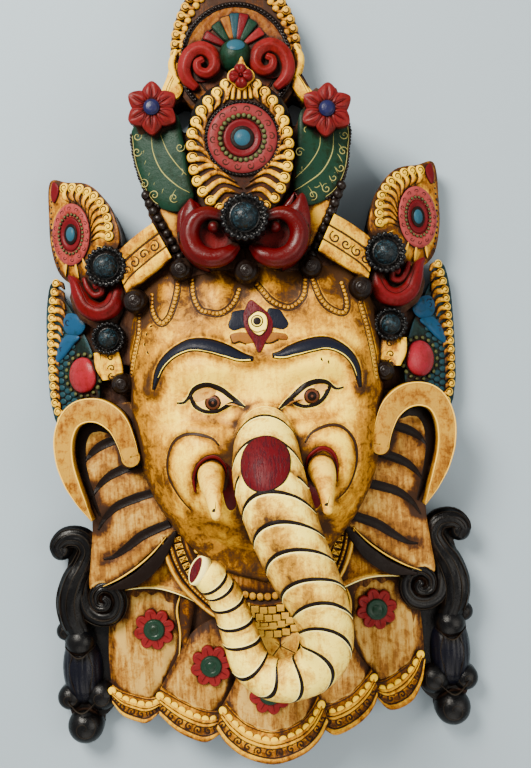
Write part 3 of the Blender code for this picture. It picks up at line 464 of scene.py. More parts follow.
# Each paint: its colour where the glaze is rubbed off, how much glaze is left all over it, how much
# that glaze varies from place to place, its roughness and the height of its brush marks.
PAINTS = {
    "cream": ((0.96, 0.66, 0.030), 0.17, 0.7, 0.42, 0.5),
    "ivory": ((0.96, 0.75, 0.095), 0.10, 0.8, 0.36, 0.5),
    "ivory_light": ((0.96, 0.82, 0.26), 0.02, 0.4, 0.38, 0.2),
    "tusk": ((0.80, 0.53, 0.05), 0.10, 0.8, 0.34, 0.3),
    "eye_white": ((0.86, 0.50, 0.10), 0.12, 0.5, 0.34, 0.2),
    "gold": ((0.50, 0.275, 0.015), 0.17, 1.1, 0.40, 0.6),
    "gold_bright": ((0.74, 0.445, 0.010), 0.12, 1.1, 0.36, 0.5),
    "old_gold": ((0.36, 0.180, 0.010), 0.24, 1.0, 0.44, 0.7),
    "pearl": ((0.42, 0.23, 0.03), 0.26, 0.9, 0.44, 0.3),
    "robe": ((0.43, 0.265, 0.058), 0.15, 0.8, 0.50, 1.3),
    "robe_dark": ((0.44, 0.255, 0.050), 0.20, 0.8, 0.50, 1.4),
    "ear": ((0.45, 0.285, 0.062), 0.16, 0.8, 0.50, 1.0),
    # Pale paint for the painted highlights on the ears' edges.
    "ear_edge_highlight": ((0.70, 0.42, 0.040), 0.06, 0.8, 0.44, 0.4),
    "ear_rim": ((0.35, 0.185, 0.014), 0.12, 1.2, 0.44, 0.5),
    "flap": ((0.54, 0.31, 0.030), 0.18, 1.0, 0.44, 0.8),
    "hem": ((0.60, 0.325, 0.004), 0.14, 1.1, 0.40, 0.5),
    "hem_light": ((0.80, 0.50, 0.004), 0.06, 0.9, 0.36, 0.3),
    "collar": ((0.44, 0.235, 0.016), 0.18, 1.0, 0.44, 0.5),
    "collar_light": ((0.50, 0.285, 0.024), 0.12, 0.9, 0.40, 0.3),
    "board": ((0.46, 0.235, 0.006), 0.24, 1.0, 0.44, 0.6),
    "ochre": ((0.18, 0.068, 0.008), 0.22, 1.0, 0.42, 0.7),
    "ochre_dark": ((0.085, 0.028, 0.007), 0.26, 0.9, 0.44, 0.6),
    "red": ((0.050, 0.0004, 0.0007), 0.0, 0.5, 0.30, 0.3),
    "scroll_red": ((0.088, 0.0030, 0.0045), 0.05, 0.8, 0.34, 0.6),
    "coral": ((0.098, 0.0068, 0.0072), 0.08, 0.9, 0.36, 0.5),
    "coral_red": ((0.135, 0.008, 0.009), 0.06, 0.8, 0.38, 0.4),
    "pink": ((0.125, 0.015, 0.016), 0.12, 0.9, 0.40, 0.4),
    "rose": ((0.220, 0.034, 0.034), 0.12, 0.9, 0.40, 0.4),
    "crimson": ((0.064, 0.0022, 0.0045), 0.03, 0.5, 0.40, 0.5),
    "crimson_plain": ((0.075, 0.003, 0.005), 0.05, 0.6, 0.38, 0.4),
    "floor_red": ((0.085, 0.0022, 0.0024), 0.0, 0.5, 0.44, 0.5),
    "cabochon": ((0.22, 0.010, 0.020), 0.08, 0.7, 0.28, 0.4),
    "green": ((0.0042, 0.0200, 0.0112), 0.03, 0.8, 0.44, 0.6),
    "button": ((0.0060, 0.023, 0.0130), 0.04, 0.6, 0.30, 0.3),
    "leaf_bead": ((0.060, 0.068, 0.024), 0.12, 0.9, 0.40, 0.3),
    "leaf_line": ((0.210, 0.200, 0.060), 0.08, 0.9, 0.40, 0.2),
    "teal": ((0.0080, 0.030, 0.040), 0.04, 0.8, 0.36, 0.6),
    "sky": ((0.0130, 0.055, 0.085), 0.06, 0.7, 0.34, 0.4),
    "sky_bright": ((0.0070, 0.040, 0.090), 0.04, 0.7, 0.34, 0.4),
    "peacock": ((0.0022, 0.0050, 0.0070), 0.0, 0.5, 0.30, 1.2),
    "peacock_dark": ((0.0022, 0.0044, 0.0056), 0.0, 0.5, 0.32, 1.2),
    "royal": ((0.0060, 0.0070, 0.038), 0.02, 0.5, 0.32, 0.3),
    "navy": ((0.0050, 0.0062, 0.0120), 0.0, 0.6, 0.40, 0.8),
    "hair": ((0.0013, 0.0014, 0.0019), 0.0, 0.4, 0.30, 0.6),
    "hair_blue": ((0.0018, 0.0022, 0.0055), 0.0, 0.4, 0.30, 0.6),
    # Pale paint for the painted highlights on the black hair.
    "hair_highlight": ((0.016, 0.0120, 0.0080), 0.0, 1.0, 0.40, 0.3),
    "bun": ((0.0060, 0.0050, 0.0042), 0.0, 0.6, 0.50, 1.4),
    "ink": ((0.0055, 0.0030, 0.0022), 0.0, 0.5, 0.40, 0.2),
    "bead": ((0.0050, 0.0025, 0.0018), 0.0, 0.6, 0.32, 0.3),
    "iris": ((0.075, 0.022, 0.0090), 0.0, 0.5, 0.28, 0.2),
    "brown_line": ((0.024, 0.0105, 0.0050), 0.0, 0.5, 0.46, 0.2),
    "block": ((0.036, 0.015, 0.0070), 0.14, 0.9, 0.55, 1.0),
}
# The darkest glaze colour, which the deepest painted shade also reaches.
GLAZE = (0.020, 0.010, 0.006)
HATCH_FINENESS = 620.0
HATCH_COLOUR = (0.03, 0.003, 0.006)
FLECK_COLOUR = (0.009, 0.030, 0.044)
# Paints with a roughness below this one are gloss paints.
GLOSSY_BELOW = 0.33
GLOSSY_SHINE = 0.16
DULL_SHINE = 0.08


def node(tree, kind, inputs=None, **settings):
    """Adds a shader node, sets its inputs to values or links them to sockets, and returns it."""
    made = tree.nodes.new(kind)
    for name, value in settings.items():
        setattr(made, name, value)
    for name, value in (inputs or {}).items():
        socket = made.inputs[name]
        if isinstance(value, bpy.types.NodeSocket):
            tree.links.new(value, socket)
        else:
            socket.default_value = value
    return made


def sum_of(tree, operation, first, second, clamp=False):
    return node(
        tree, "ShaderNodeMath", {0: first, 1: second}, operation=operation, use_clamp=clamp
    ).outputs[0]


def mixed(tree, factor, first, second, blend="MIX"):
    made = node(tree, "ShaderNodeMix", {"Factor": factor}, data_type="RGBA", blend_type=blend)
    for socket, value in ((made.inputs[6], first), (made.inputs[7], second)):
        if isinstance(value, bpy.types.NodeSocket):
            tree.links.new(value, socket)
        else:
            socket.default_value = (*value, 1.0)
    return made.outputs[2]


def ramp(tree, value, low, high, low_out=0.0, high_out=1.0):
    made = node(
        tree,
        "ShaderNodeMapRange",
        {"Value": value, "From Min": low, "From Max": high, "To Min": low_out, "To Max": high_out},
        interpolation_type="SMOOTHSTEP",
    )
    return made.outputs["Result"]


def noise(tree, place, scale, detail=3.0, roughness=0.6, distortion=0.0):
    made = node(
        tree, "ShaderNodeTexNoise",
        {
            "Vector": place, "Scale": scale, "Detail": detail, "Roughness": roughness,
            "Distortion": distortion,
        },
    )
    return made.outputs["Fac"]


def noise_between(tree, place, scale, detail, roughness, distortion, low, high, low_out, high_out):
    return ramp(
        tree, noise(tree, place, scale, detail, roughness, distortion), low, high, low_out, high_out
    )


def total(tree, *terms):
    """The sum of several values."""
    whole = terms[0]
    for term in terms[1:]:
        whole = sum_of(tree, "ADD", whole, term)
    return whole


def aged_paint_group():
    """The look that all paints share: a brown glaze over the paint, patchy and specked on the open faces.
    In hollows, found by ambient occlusion, the darkening is partly glaze that gathers there and partly
    painted shade; on convex edges the glaze is rubbed off, which also serves as a painted highlight. The
    glaze is a filter that turns amber, then brown, then near black as it thickens.
    """
    tree = bpy.data.node_groups.new("aged_paint", "ShaderNodeTree")
    for name, kind in (
        ("Color", "NodeSocketColor"),
        ("Glaze", "NodeSocketColor"),
        ("Hollow", "NodeSocketFloat"),
        ("Edge", "NodeSocketFloat"),
        ("Glaze And Shade", "NodeSocketFloat"),
        ("Glaze Left", "NodeSocketFloat"),
        ("Patchiness", "NodeSocketFloat"),
        ("Glaze Amount", "NodeSocketFloat"),
        ("Roughness", "NodeSocketFloat"),
        ("Brush Marks", "NodeSocketFloat"),
    ):
        tree.interface.new_socket(name, in_out="INPUT", socket_type=kind)
    for name, kind in (
        ("Color", "NodeSocketColor"),
        ("Roughness", "NodeSocketFloat"),
        ("Height", "NodeSocketFloat"),
    ):
        tree.interface.new_socket(name, in_out="OUTPUT", socket_type=kind)
    given = tree.nodes.new("NodeGroupInput").outputs
    place = tree.nodes.new("ShaderNodeTexCoord").outputs["Object"]
    stretched = node(tree, "ShaderNodeMapping", {"Vector": place, "Scale": (1.0, 0.13, 0.5)}).outputs[0]
    mottle = noise(tree, place, 85.0, 6.0, 0.72, 0.6)
    brush = noise(tree, stretched, 300.0, 3.0, 0.6)
    drift = noise_between(tree, place, 17.0, 4.0, 0.62, 0.3, 0.34, 0.66, -0.13, 0.17)
    blotch = ramp(tree, mottle, 0.40, 0.70, -0.10, 0.22)
    streak = sum_of(tree, "MULTIPLY", ramp(tree, brush, 0.36, 0.68, -0.09, 0.20), given["Brush Marks"])
    grain = noise_between(tree, place, 420.0, 3.0, 0.7, 0.0, 0.40, 0.70, -0.05, 0.10)
    speck = noise_between(tree, place, 230.0, 4.0, 0.7, 0.0, 0.66, 0.73, 0.0, 0.30)
    patches = sum_of(
        tree, "MULTIPLY", total(tree, drift, blotch, streak, grain, speck), given["Patchiness"]
    )
    # Darker in hollows found by ambient occlusion: glaze that gathers there, and painted shade.
    hollow_glaze_and_shade = sum_of(
        tree, "MULTIPLY", ramp(tree, given["Hollow"], 0.05, 0.62, 0.0, 0.95),
        ramp(tree, mottle, 0.3, 0.7, 0.8, 1.2),
    )
    # Darker by the glaze and painted shade laid on each point.
    laid_glaze_and_shade = sum_of(tree, "MULTIPLY", given["Glaze And Shade"], ramp(tree, mottle, 0.30, 0.66, 0.82, 1.14))
    # Lighter on convex edges found by inside ambient occlusion: glaze rubbed off, and a painted highlight.
    rubbed_and_highlit = sum_of(tree, "MULTIPLY", ramp(tree, given["Edge"], 0.06, 0.40), -0.30)
    # The glaze amount, which also carries painted shade and painted highlight.
    glaze = total(tree, given["Glaze Left"], patches, hollow_glaze_and_shade, laid_glaze_and_shade, rubbed_and_highlit)
    glaze = sum_of(tree, "MULTIPLY", glaze, given["Glaze Amount"], clamp=True)
    filter_ramp = node(tree, "ShaderNodeValToRGB", {"Fac": glaze})
    stops = filter_ramp.color_ramp.elements
    stops[0].color = (1.0, 1.0, 1.0, 1.0)
    stops[1].position = 0.72
    stops[1].color = (0.12, 0.062, 0.055, 1.0)
    for position, colour in ((0.20, (0.74, 0.60, 0.40, 1.0)), (0.40, (0.44, 0.28, 0.17, 1.0))):
        stops.new(position).color = colour
    veiled = mixed(tree, 1.0, given["Color"], filter_ramp.outputs["Color"], "MULTIPLY")
    finished = mixed(tree, ramp(tree, glaze, 0.62, 1.0, 0.0, 0.85), veiled, given["Glaze"])

    rough = total(
        tree, given["Roughness"], ramp(tree, mottle, 0.35, 0.75, -0.06, 0.14),
        sum_of(tree, "MULTIPLY", glaze, 0.10),
    )
    height = total(
        tree, mottle, sum_of(tree, "MULTIPLY", brush, given["Brush Marks"]),
        sum_of(tree, "MULTIPLY", grain, 1.5),
    )
    given_out = tree.nodes.new("NodeGroupOutput").inputs
    tree.links.new(finished, given_out["Color"])
    tree.links.new(rough, given_out["Roughness"])
    tree.links.new(height, given_out["Height"])
    return tree


def hatch_group():
    """Fine scratches at two slants: bands of stretched noise, kept where they are strongest."""
    tree = bpy.data.node_groups.new("hatching", "ShaderNodeTree")
    tree.interface.new_socket("Fineness", in_out="INPUT", socket_type="NodeSocketFloat")
    tree.interface.new_socket("Scratches", in_out="OUTPUT", socket_type="NodeSocketFloat")
    given = tree.nodes.new("NodeGroupInput").outputs
    place = tree.nodes.new("ShaderNodeTexCoord").outputs["Object"]
    found = []
    for slant in (-0.35, 0.15):
        turned = node(
            tree, "ShaderNodeMapping",
            {"Vector": place, "Rotation": (0.0, 0.0, slant), "Scale": (1.0, 0.08, 0.3)},
        ).outputs[0]
        found.append(ramp(tree, noise(tree, turned, given["Fineness"], 2.0, 0.5), 0.56, 0.62))
    tree.links.new(sum_of(tree, "MAXIMUM", *found), tree.nodes.new("NodeGroupOutput").inputs["Scratches"])
    return tree


def paint(name):
    """The paint's material, made the first time it is asked for."""
    label = f"{name}_paint"
    if label in bpy.data.materials:
        return bpy.data.materials[label]
    colour, left, patchiness, rough, marks = PAINTS[name]
    settings = bpy.context.scene.mask_finish
    material = bpy.data.materials.new(label)
    material.use_nodes = True
    tree = material.node_tree
    shader = tree.nodes["Principled BSDF"]
    # Ambient occlusion finds the hollows that get glaze and painted shade and, looking inside, the convex
    # edges that get rubbed glaze and a painted highlight.
    hollow = node(tree, "ShaderNodeAmbientOcclusion", {"Distance": settings.glaze_and_shade_reach}, samples=8)
    edge = node(
        tree, "ShaderNodeAmbientOcclusion", {"Distance": settings.rub_and_highlight_reach}, samples=6, inside=True
    )
    wash = node(tree, "ShaderNodeAttribute", attribute_name="wash")
    aged = tree.nodes.new("ShaderNodeGroup")
    aged.node_tree = bpy.data.node_groups.get("aged_paint") or aged_paint_group()
    for socket, value in (
        ("Color", (*getattr(settings, name, colour), 1.0)),
        ("Glaze", (*settings.glaze, 1.0)),
        ("Glaze Left", left),
        ("Patchiness", patchiness),
        ("Glaze Amount", settings.glaze_amount),
        ("Roughness", rough),
        ("Brush Marks", marks),
    ):
        aged.inputs[socket].default_value = value
    tree.links.new(sum_of(tree, "SUBTRACT", 1.0, hollow.outputs["AO"]), aged.inputs["Hollow"])
    tree.links.new(sum_of(tree, "SUBTRACT", 1.0, edge.outputs["AO"]), aged.inputs["Edge"])
    tree.links.new(wash.outputs["Fac"], aged.inputs["Glaze And Shade"])
    colour_out = aged.outputs["Color"]
    height = aged.outputs["Height"]
    if name == "crimson":
        hatch = tree.nodes.new("ShaderNodeGroup")
        hatch.node_tree = bpy.data.node_groups.get("hatching") or hatch_group()
        hatch.inputs["Fineness"].default_value = HATCH_FINENESS
        colour_out = mixed(
            tree, sum_of(tree, "MULTIPLY", hatch.outputs["Scratches"], 0.75), colour_out, HATCH_COLOUR
        )
        height = sum_of(tree, "SUBTRACT", height, hatch.outputs["Scratches"])
    if name.startswith("peacock"):
        place = tree.nodes.new("ShaderNodeTexCoord").outputs["Object"]
        flecks = noise_between(tree, place, 330.0, 4.0, 0.7, 0.8, 0.50, 0.62, 0.0, 0.9)
        colour_out = mixed(tree, flecks, colour_out, FLECK_COLOUR)
        height = total(tree, height, flecks)
    bump = node(tree, "ShaderNodeBump", {"Strength": 0.5, "Distance": 0.0006, "Height": height})
    tree.links.new(colour_out, shader.inputs["Base Color"])
    tree.links.new(aged.outputs["Roughness"], shader.inputs["Roughness"])
    tree.links.new(bump.outputs["Normal"], shader.inputs["Normal"])
    shader.inputs["Specular IOR Level"].default_value = GLOSSY_SHINE if rough < GLOSSY_BELOW else DULL_SHINE
    return material


def make_piece(name, painted):
    """One mesh object from (paint, Shape) pairs. It rides on the mask's body and stands for its solid."""
    paints = list(dict.fromkeys(paint_name for paint_name, _ in painted))
    whole = together(shape for _, shape in painted)
    mesh = bpy.data.meshes.new(name)
    mesh.vertices.add(len(whole.points))
    mesh.vertices.foreach_set("co", (whole.points * METRES).astype(np.float32).ravel())
    corner_lists = [whole.quads, whole.tris]
    sizes = np.repeat([4, 3], [len(whole.quads), len(whole.tris)])
    mesh.loops.add(int(sizes.sum()))
    mesh.polygons.add(len(sizes))
    mesh.loops.foreach_set(
        "vertex_index", np.concatenate([c.ravel() for c in corner_lists]).astype(np.int32)
    )
    mesh.polygons.foreach_set("loop_start", np.r_[0, np.cumsum(sizes)[:-1]].astype(np.int32))
    number = [paints.index(paint_name) for paint_name, _ in painted]
    of_quads = np.repeat(number, [len(shape.quads) for _, shape in painted])
    of_tris = np.repeat(number, [len(shape.tris) for _, shape in painted])
    mesh.update(calc_edges=True)
    mesh.polygons.foreach_set("material_index", np.r_[of_quads, of_tris].astype(np.int32))
    mesh.polygons.foreach_set("use_smooth", np.ones(len(sizes), bool))
    # Each point's amount of glaze and painted shade, below zero where a painted highlight lightens it.
    wash = mesh.attributes.new("wash", "FLOAT", "POINT")
    wash.data.foreach_set("value", whole.wash.astype(np.float32))
    for paint_name in paints:
        mesh.materials.append(paint(paint_name))
    if mesh.validate():
        raise RuntimeError(f"{name} has faces that Blender had to mend")
    obj = bpy.data.objects.new(name, mesh)
    bpy.context.scene.collection.objects.link(obj)
    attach(obj, "root")
    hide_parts("mask")
    return obj


# The face


FACE_SHIFT = 4.0
FACE_CENTRE = (FACE_SHIFT, -40.0)
FACE_EDGE = 56.0
FACE_FRONT = 104.0
FACE_HALF = [
    (0, 105), (85, 94), (113, 48), (119, -20), (115, -78), (104, -122), (80, -162), (45, -196), (0, -212)
]
FACE_LINE = whole_outline(FACE_HALF, 90, FACE_SHIFT)
BROWS = {
    -1: [
        (2.5, -2), (-9, 0.6), (-22, 6.5), (-37, 11.7), (-52, 13.2), (-65.5, 8.7), (-76.3, 1), (-83.6, -9),
        (-89.3, -25),
    ],
    1: [
        (20, 0), (28.3, 0.5), (39, 3.9), (54, 7.6), (67.6, 9), (79.4, 5), (89.4, -3), (95.6, -14.4),
        (98.4, -32),
    ],
}
BROW_WIDTHS = (4.5, 10.5, 13, 13.5, 12, 10, 8.5, 7, 3.0)
UPPER_LIDS = {
    -1: [
        (-68.2, -38.2), (-62, -38), (-57.3, -33.7), (-52.5, -27.2), (-46, -24), (-38, -23.6), (-27.5, -28),
        (-17.3, -36.5), (-7, -44.6),
    ],
    1: [
        (83, -31.5), (76.8, -32.4), (72.5, -30), (69, -27), (64.3, -25.2), (56, -25.3), (46.7, -29),
        (35.6, -38), (23.5, -48),
    ],
}
LOWER_LIDS = {
    -1: [
        (-56, -32), (-52.7, -40.5), (-48, -44.8), (-41.4, -47.4), (-33, -47.6), (-26, -44.6), (-20, -41.6),
        (-13, -41.5), (-7, -44.6),
    ],
    1: [
        (70.7, -28.5), (69, -33), (64.5, -40), (58, -45), (48, -47), (40, -44.8), (35, -41.2), (29, -43.6),
        (23.5, -48),
    ],
}
LID_WIDTHS = (1.8, 2.8, 4.2, 5.2, 5.4, 5.2, 4.8, 4.4, 1.8)
LOWER_WIDTHS = (3.6, 4.4, 4.2, 3.8, 3.4, 3.6, 4.2, 4.4, 1.2)
IRISES = {-1: (-35.6, -39.4), 1: (53.7, -38.0)}
CHEEK_LINES = {
    -1: [
        (-31.5, -77.5), (-36.9, -71.5), (-45.7, -68), (-56, -66.3), (-65.2, -67.8), (-73, -73.4),
        (-78, -83), (-80.3, -93.3), (-79.8, -104), (-76.5, -113), (-69.6, -125.4), (-61, -136.5),
    ],
    1: [
        (45, -79), (50.3, -71.4), (59.5, -66.6), (70, -64.6), (79, -66.8), (86.2, -73.2), (91, -82.4),
        (92.2, -94.5), (89.2, -109.4), (82, -124), (72.7, -132.8),
    ],
}
MOUTHS = {-1: (-40.0, -104.0), 1: (60.0, -102.0)}
MOUTH_RIMS = {
    -1: [(-55, -119), (-55.2, -106), (-50.4, -95), (-42, -88.6), (-34, -89), (-27.6, -97), (-26.6, -108)],
    1: [(45, -103), (47.6, -92.6), (55, -86.4), (61.6, -84.8), (69.2, -89.6), (72.6, -101), (72.2, -116)],
}
# Dark crimson pools in the gap between each tusk and the trunk: the mouth's red with painted shade in the
# gap.
MOUTH_SHADE_POOLS = {
    -1: [(-30, -94), (-22, -98), (-19, -116), (-20, -134), (-27, -136), (-31, -118)],
    1: [(44, -98), (52, -92), (54, -112), (58, -132), (50, -140), (40, -120)],
}
# Sockets, brow ridges and cheeks are mirror images about this x.
FEATURE_SHIFT = 8.5
# The flutes up the forehead: where one starts, and how wide each is.
FLUTE_SHIFT = 72.0
FLUTE_WIDTH = 44.5
FOREHEAD_LOOPS = [
    [
        (-88, 62), (-88, 50), (-84.3, 39.4), (-78.5, 34.6), (-71.9, 39.7), (-67.4, 49.5), (-63.8, 62.1),
        (-62.6, 74),
    ],
    [
        (-50, 74), (-48.5, 57), (-43.2, 45.4), (-35.2, 41.9), (-26.2, 40.4), (-17.8, 44.1), (-11.1, 52),
        (-7, 62),
    ],
    [(9, 66), (14.8, 58), (20.7, 50.5), (28.6, 45.4), (37.6, 43.1), (46, 47.2), (51.5, 55.2), (54, 72)],
    [(60, 68), (64.7, 53), (70.6, 43.6), (79.4, 37.7), (86.7, 36.4), (90.2, 41.7), (90, 51.8), (87, 64)],
]
TEMPLE_STRINGS = [
    [(-100.8, 50), (-101.9, 29), (-106, 14.2), (-110.5, -0.6), (-112.9, -12)],
    [(102.3, 50), (107.2, 29.7), (111, 12.6), (113.9, -4.5), (116.2, -24)],
]
PEARL_SPACING = 3.4
# Strings, paint, radius and rise of a pearl, and the lines beside them: how far off, points and widths.
PEARL_STRINGS = (
    (FOREHEAD_LOOPS, "old_gold", 2.1, 1.6, 2.9, 50, (0.8, 1.6, 1.3, 1.6, 0.8)),
    (TEMPLE_STRINGS, "pearl", 1.7, 1.0, 2.8, 40, (0.5, 1.1, 1.1, 0.5)),
)
FOREHEAD_TICKS = (
    ((-89.2, 32.8), 0.3), ((-93.8, 26), 1.2), ((-96.1, 16.9), 1.5), ((-93.6, 9.3), 2.0),
    ((63.8, -5.5), 1.9), ((70, -8.2), 1.6),
)


def face_share(x, y):
    """How far a point lies from the face's middle: 0 there and 1 on its outline."""
    dx = x - FACE_CENTRE[0]
    dy = y - FACE_CENTRE[1]
    outline = FACE_LINE - FACE_CENTRE
    angle = np.arctan2(outline[:, 1], outline[:, 0])
    reach = np.interp(
        np.arctan2(dy, dx), angle[np.argsort(angle)], np.linalg.norm(outline, axis=1)[np.argsort(angle)],
        period=FULL_TURN,
    )
    return np.hypot(dx, dy) / reach


def face_top(x, y, t=None):
    """The face's height: a broad dome, with brow ridges, lids, sockets, eyeballs and cheeks as smooth
    swells, creases along the cheek lines, sunk mouths and flutes up the forehead.
    """
    t = np.clip(face_share(x, y), 0, 1.0)
    height = FACE_EDGE + (FACE_FRONT - FACE_EDGE) * (1 - t**3.2) ** 0.62
    inside = np.clip((1 - t) / 0.15, 0, 1)
    away = np.abs(x - FEATURE_SHIFT)
    carved = -24 * np.clip((-146 - y) / 46, 0, 1)
    carved = carved + swell(away, y, (52, -8), 46, 9, 0.60)
    carved = carved - swell(away, y, (45, -38), 42.5, 7.5, 0.70)
    carved = carved + swell(away, y, (58, -98), 52, 16, 1.1)
    carved = carved + swell(x, y, (10, -66), 42, 7, 1.0)
    for side in (-1, 1):
        gap, _ = gap_to(x, y, BROWS[side])
        carved = carved + 5 * np.clip(1 - (gap / 13) ** 2, 0, 1) ** 1.5
        eye_x, eye_y = IRISES[side]
        carved = carved + swell(x, y, (eye_x - side * 2, eye_y + 1), 20, 8.0, 0.62)
        gap, along = gap_to(x, y, UPPER_LIDS[side])
        carved = carved + 2.2 * bell(gap, 4.2) * np.sin(np.clip(along, 0, 1) * math.pi)
        gap, along = gap_to(x, y, CHEEK_LINES[side])
        carved = carved - 3.4 * bell(gap, 2.8) * np.sin(np.clip(along, 0.04, 0.96) * math.pi) ** 0.4
        mouth_x, mouth_y = MOUTHS[side]
        carved = carved - swell(x, y, (mouth_x, mouth_y - 2), 24, 12, 1.3)
    carved = carved - 1.6 * bell(near(away, y, [(26, -60), (44, -58), (66, -54), (88, -58)]), 4.0)
    flutes = 2.4 * np.cos(FULL_TURN * (x + FLUTE_SHIFT) / FLUTE_WIDTH) * fade(y, 26, 60)
    return height + inside * (carved + flutes)


# How much glaze and painted shade lie along each kind of line, how far from it, and how steeply it ends:
# the shade under the brows and in the creases of the lids, cheeks and mouths.
LINE_GLAZE_AND_SHADE = (
    (BROWS, 0.50, 9.5, 4),
    (UPPER_LIDS, 0.22, 4.0, 2),
    (LOWER_LIDS, 0.30, 5.5, 2),
    (CHEEK_LINES, 0.38, 4.2, 2),
    (MOUTH_RIMS, 0.55, 6.5, 2),
)
# Painted shadows round the trunk's root on the bridge, down both sides of the trunk and on the left jaw
# under the cheek: line, reach and amount.
PAINTED_SHADOWS = (
    ([(-16, -60), (-6, -48), (10, -44), (24, -49), (33, -62)], 4.5, 0.40),
    ([(-22, -78), (-24, -100), (-22, -124), (-16, -144), (-8, -164)], 7.0, 0.60),
    ([(42, -78), (46, -100), (50, -122), (56, -142), (60, -160)], 7.0, 0.60),
    ([(-62, -138), (-48, -145), (-30, -154), (-14, -164)], 5.0, 0.24),
)


def face_glaze_and_shade(x, y, t):
    """Where the face is darker and lighter: brown glaze at its edge and sides and, a little, over the
    forehead; painted shade up under the crown, in the flute troughs, round the brows, eyes, cheek creases
    and mouths, in the folds under the eyes, round the pearl loops and under the jaw; and painted highlight
    on the raised lids, bridge and cheeks, where the glaze is also rubbed off.
    """
    away = np.abs(x - FEATURE_SHIFT)
    wash = 0.24 * fade(t, 0.70, 0.96) + 0.22 * fade(t, 0.94, 1.0)
    # Painted shade under the crown's overhang, and the forehead a little darker.
    wash = wash + 0.55 * fade(y, 66, 86) + 0.20 * fade(y, 4, 34)
    # Painted shade in the troughs of the flutes.
    wash = wash + 0.19 * fade(y, 26, 58) * (1 - np.cos(FULL_TURN * (x + FLUTE_SHIFT) / FLUTE_WIDTH))
    wash = wash + 0.16 * fade(away, 78, 100)
    # Painted shade and glaze under the jaw and down to the chin.
    wash = wash + 0.20 * fade(-y, 128, 158) + 0.10 * fade(-y, 165, 200) + 0.05 * fade(y, -10, 30)
    # Painted highlight on the raised lids, bridge and cheeks, where the glaze is also rubbed off.
    wash = wash - swell(away, y, (42, -16), 34, 0.20, 0.7) - swell(x, y, (10, -22), 30, 0.14)
    wash = wash - swell(away, y, (66, -100), 34, 0.16)
    for side in (-1, 1):
        # Glaze and painted shade along the brows, lids, cheek creases and mouth rims.
        for lines, most, reach, power in LINE_GLAZE_AND_SHADE:
            wash = wash + most * bell(near(x, y, lines[side]), reach, power)
        # Painted shade in the fold under each eye.
        fold = [(side * 24 + 9, -60), (side * 42 + 9, -58), (side * 62 + 9, -56)]
        wash = wash + 0.22 * bell(near(x, y, fold), 5.0)
    # Painted shade round the pearl loops.
    for loop in FOREHEAD_LOOPS:
        wash = wash + 0.34 * bell(near(x, y, loop), 5.0, 4)
    # Painted shadows round the trunk and under the left cheek.
    for line, reach, most in PAINTED_SHADOWS:
        wash = wash + most * bell(near(x, y, line), reach)
    return np.clip(wash, -0.25, 1.3)


def inked(path, widths, rise=0.45, light=1.3, **more):
    """A painted line with a paler worn edge on each side: pairs of a light and a dark stroke."""
    widths = np.atleast_1d(np.asarray(widths, float))
    worn = stroke(path, widths + light, rise * 0.55, 1.2, section=SECTION_FLAT, **more)
    dark = stroke(path, widths, rise, 1.2, section=SECTION_FLAT, **more)
    return worn, dark


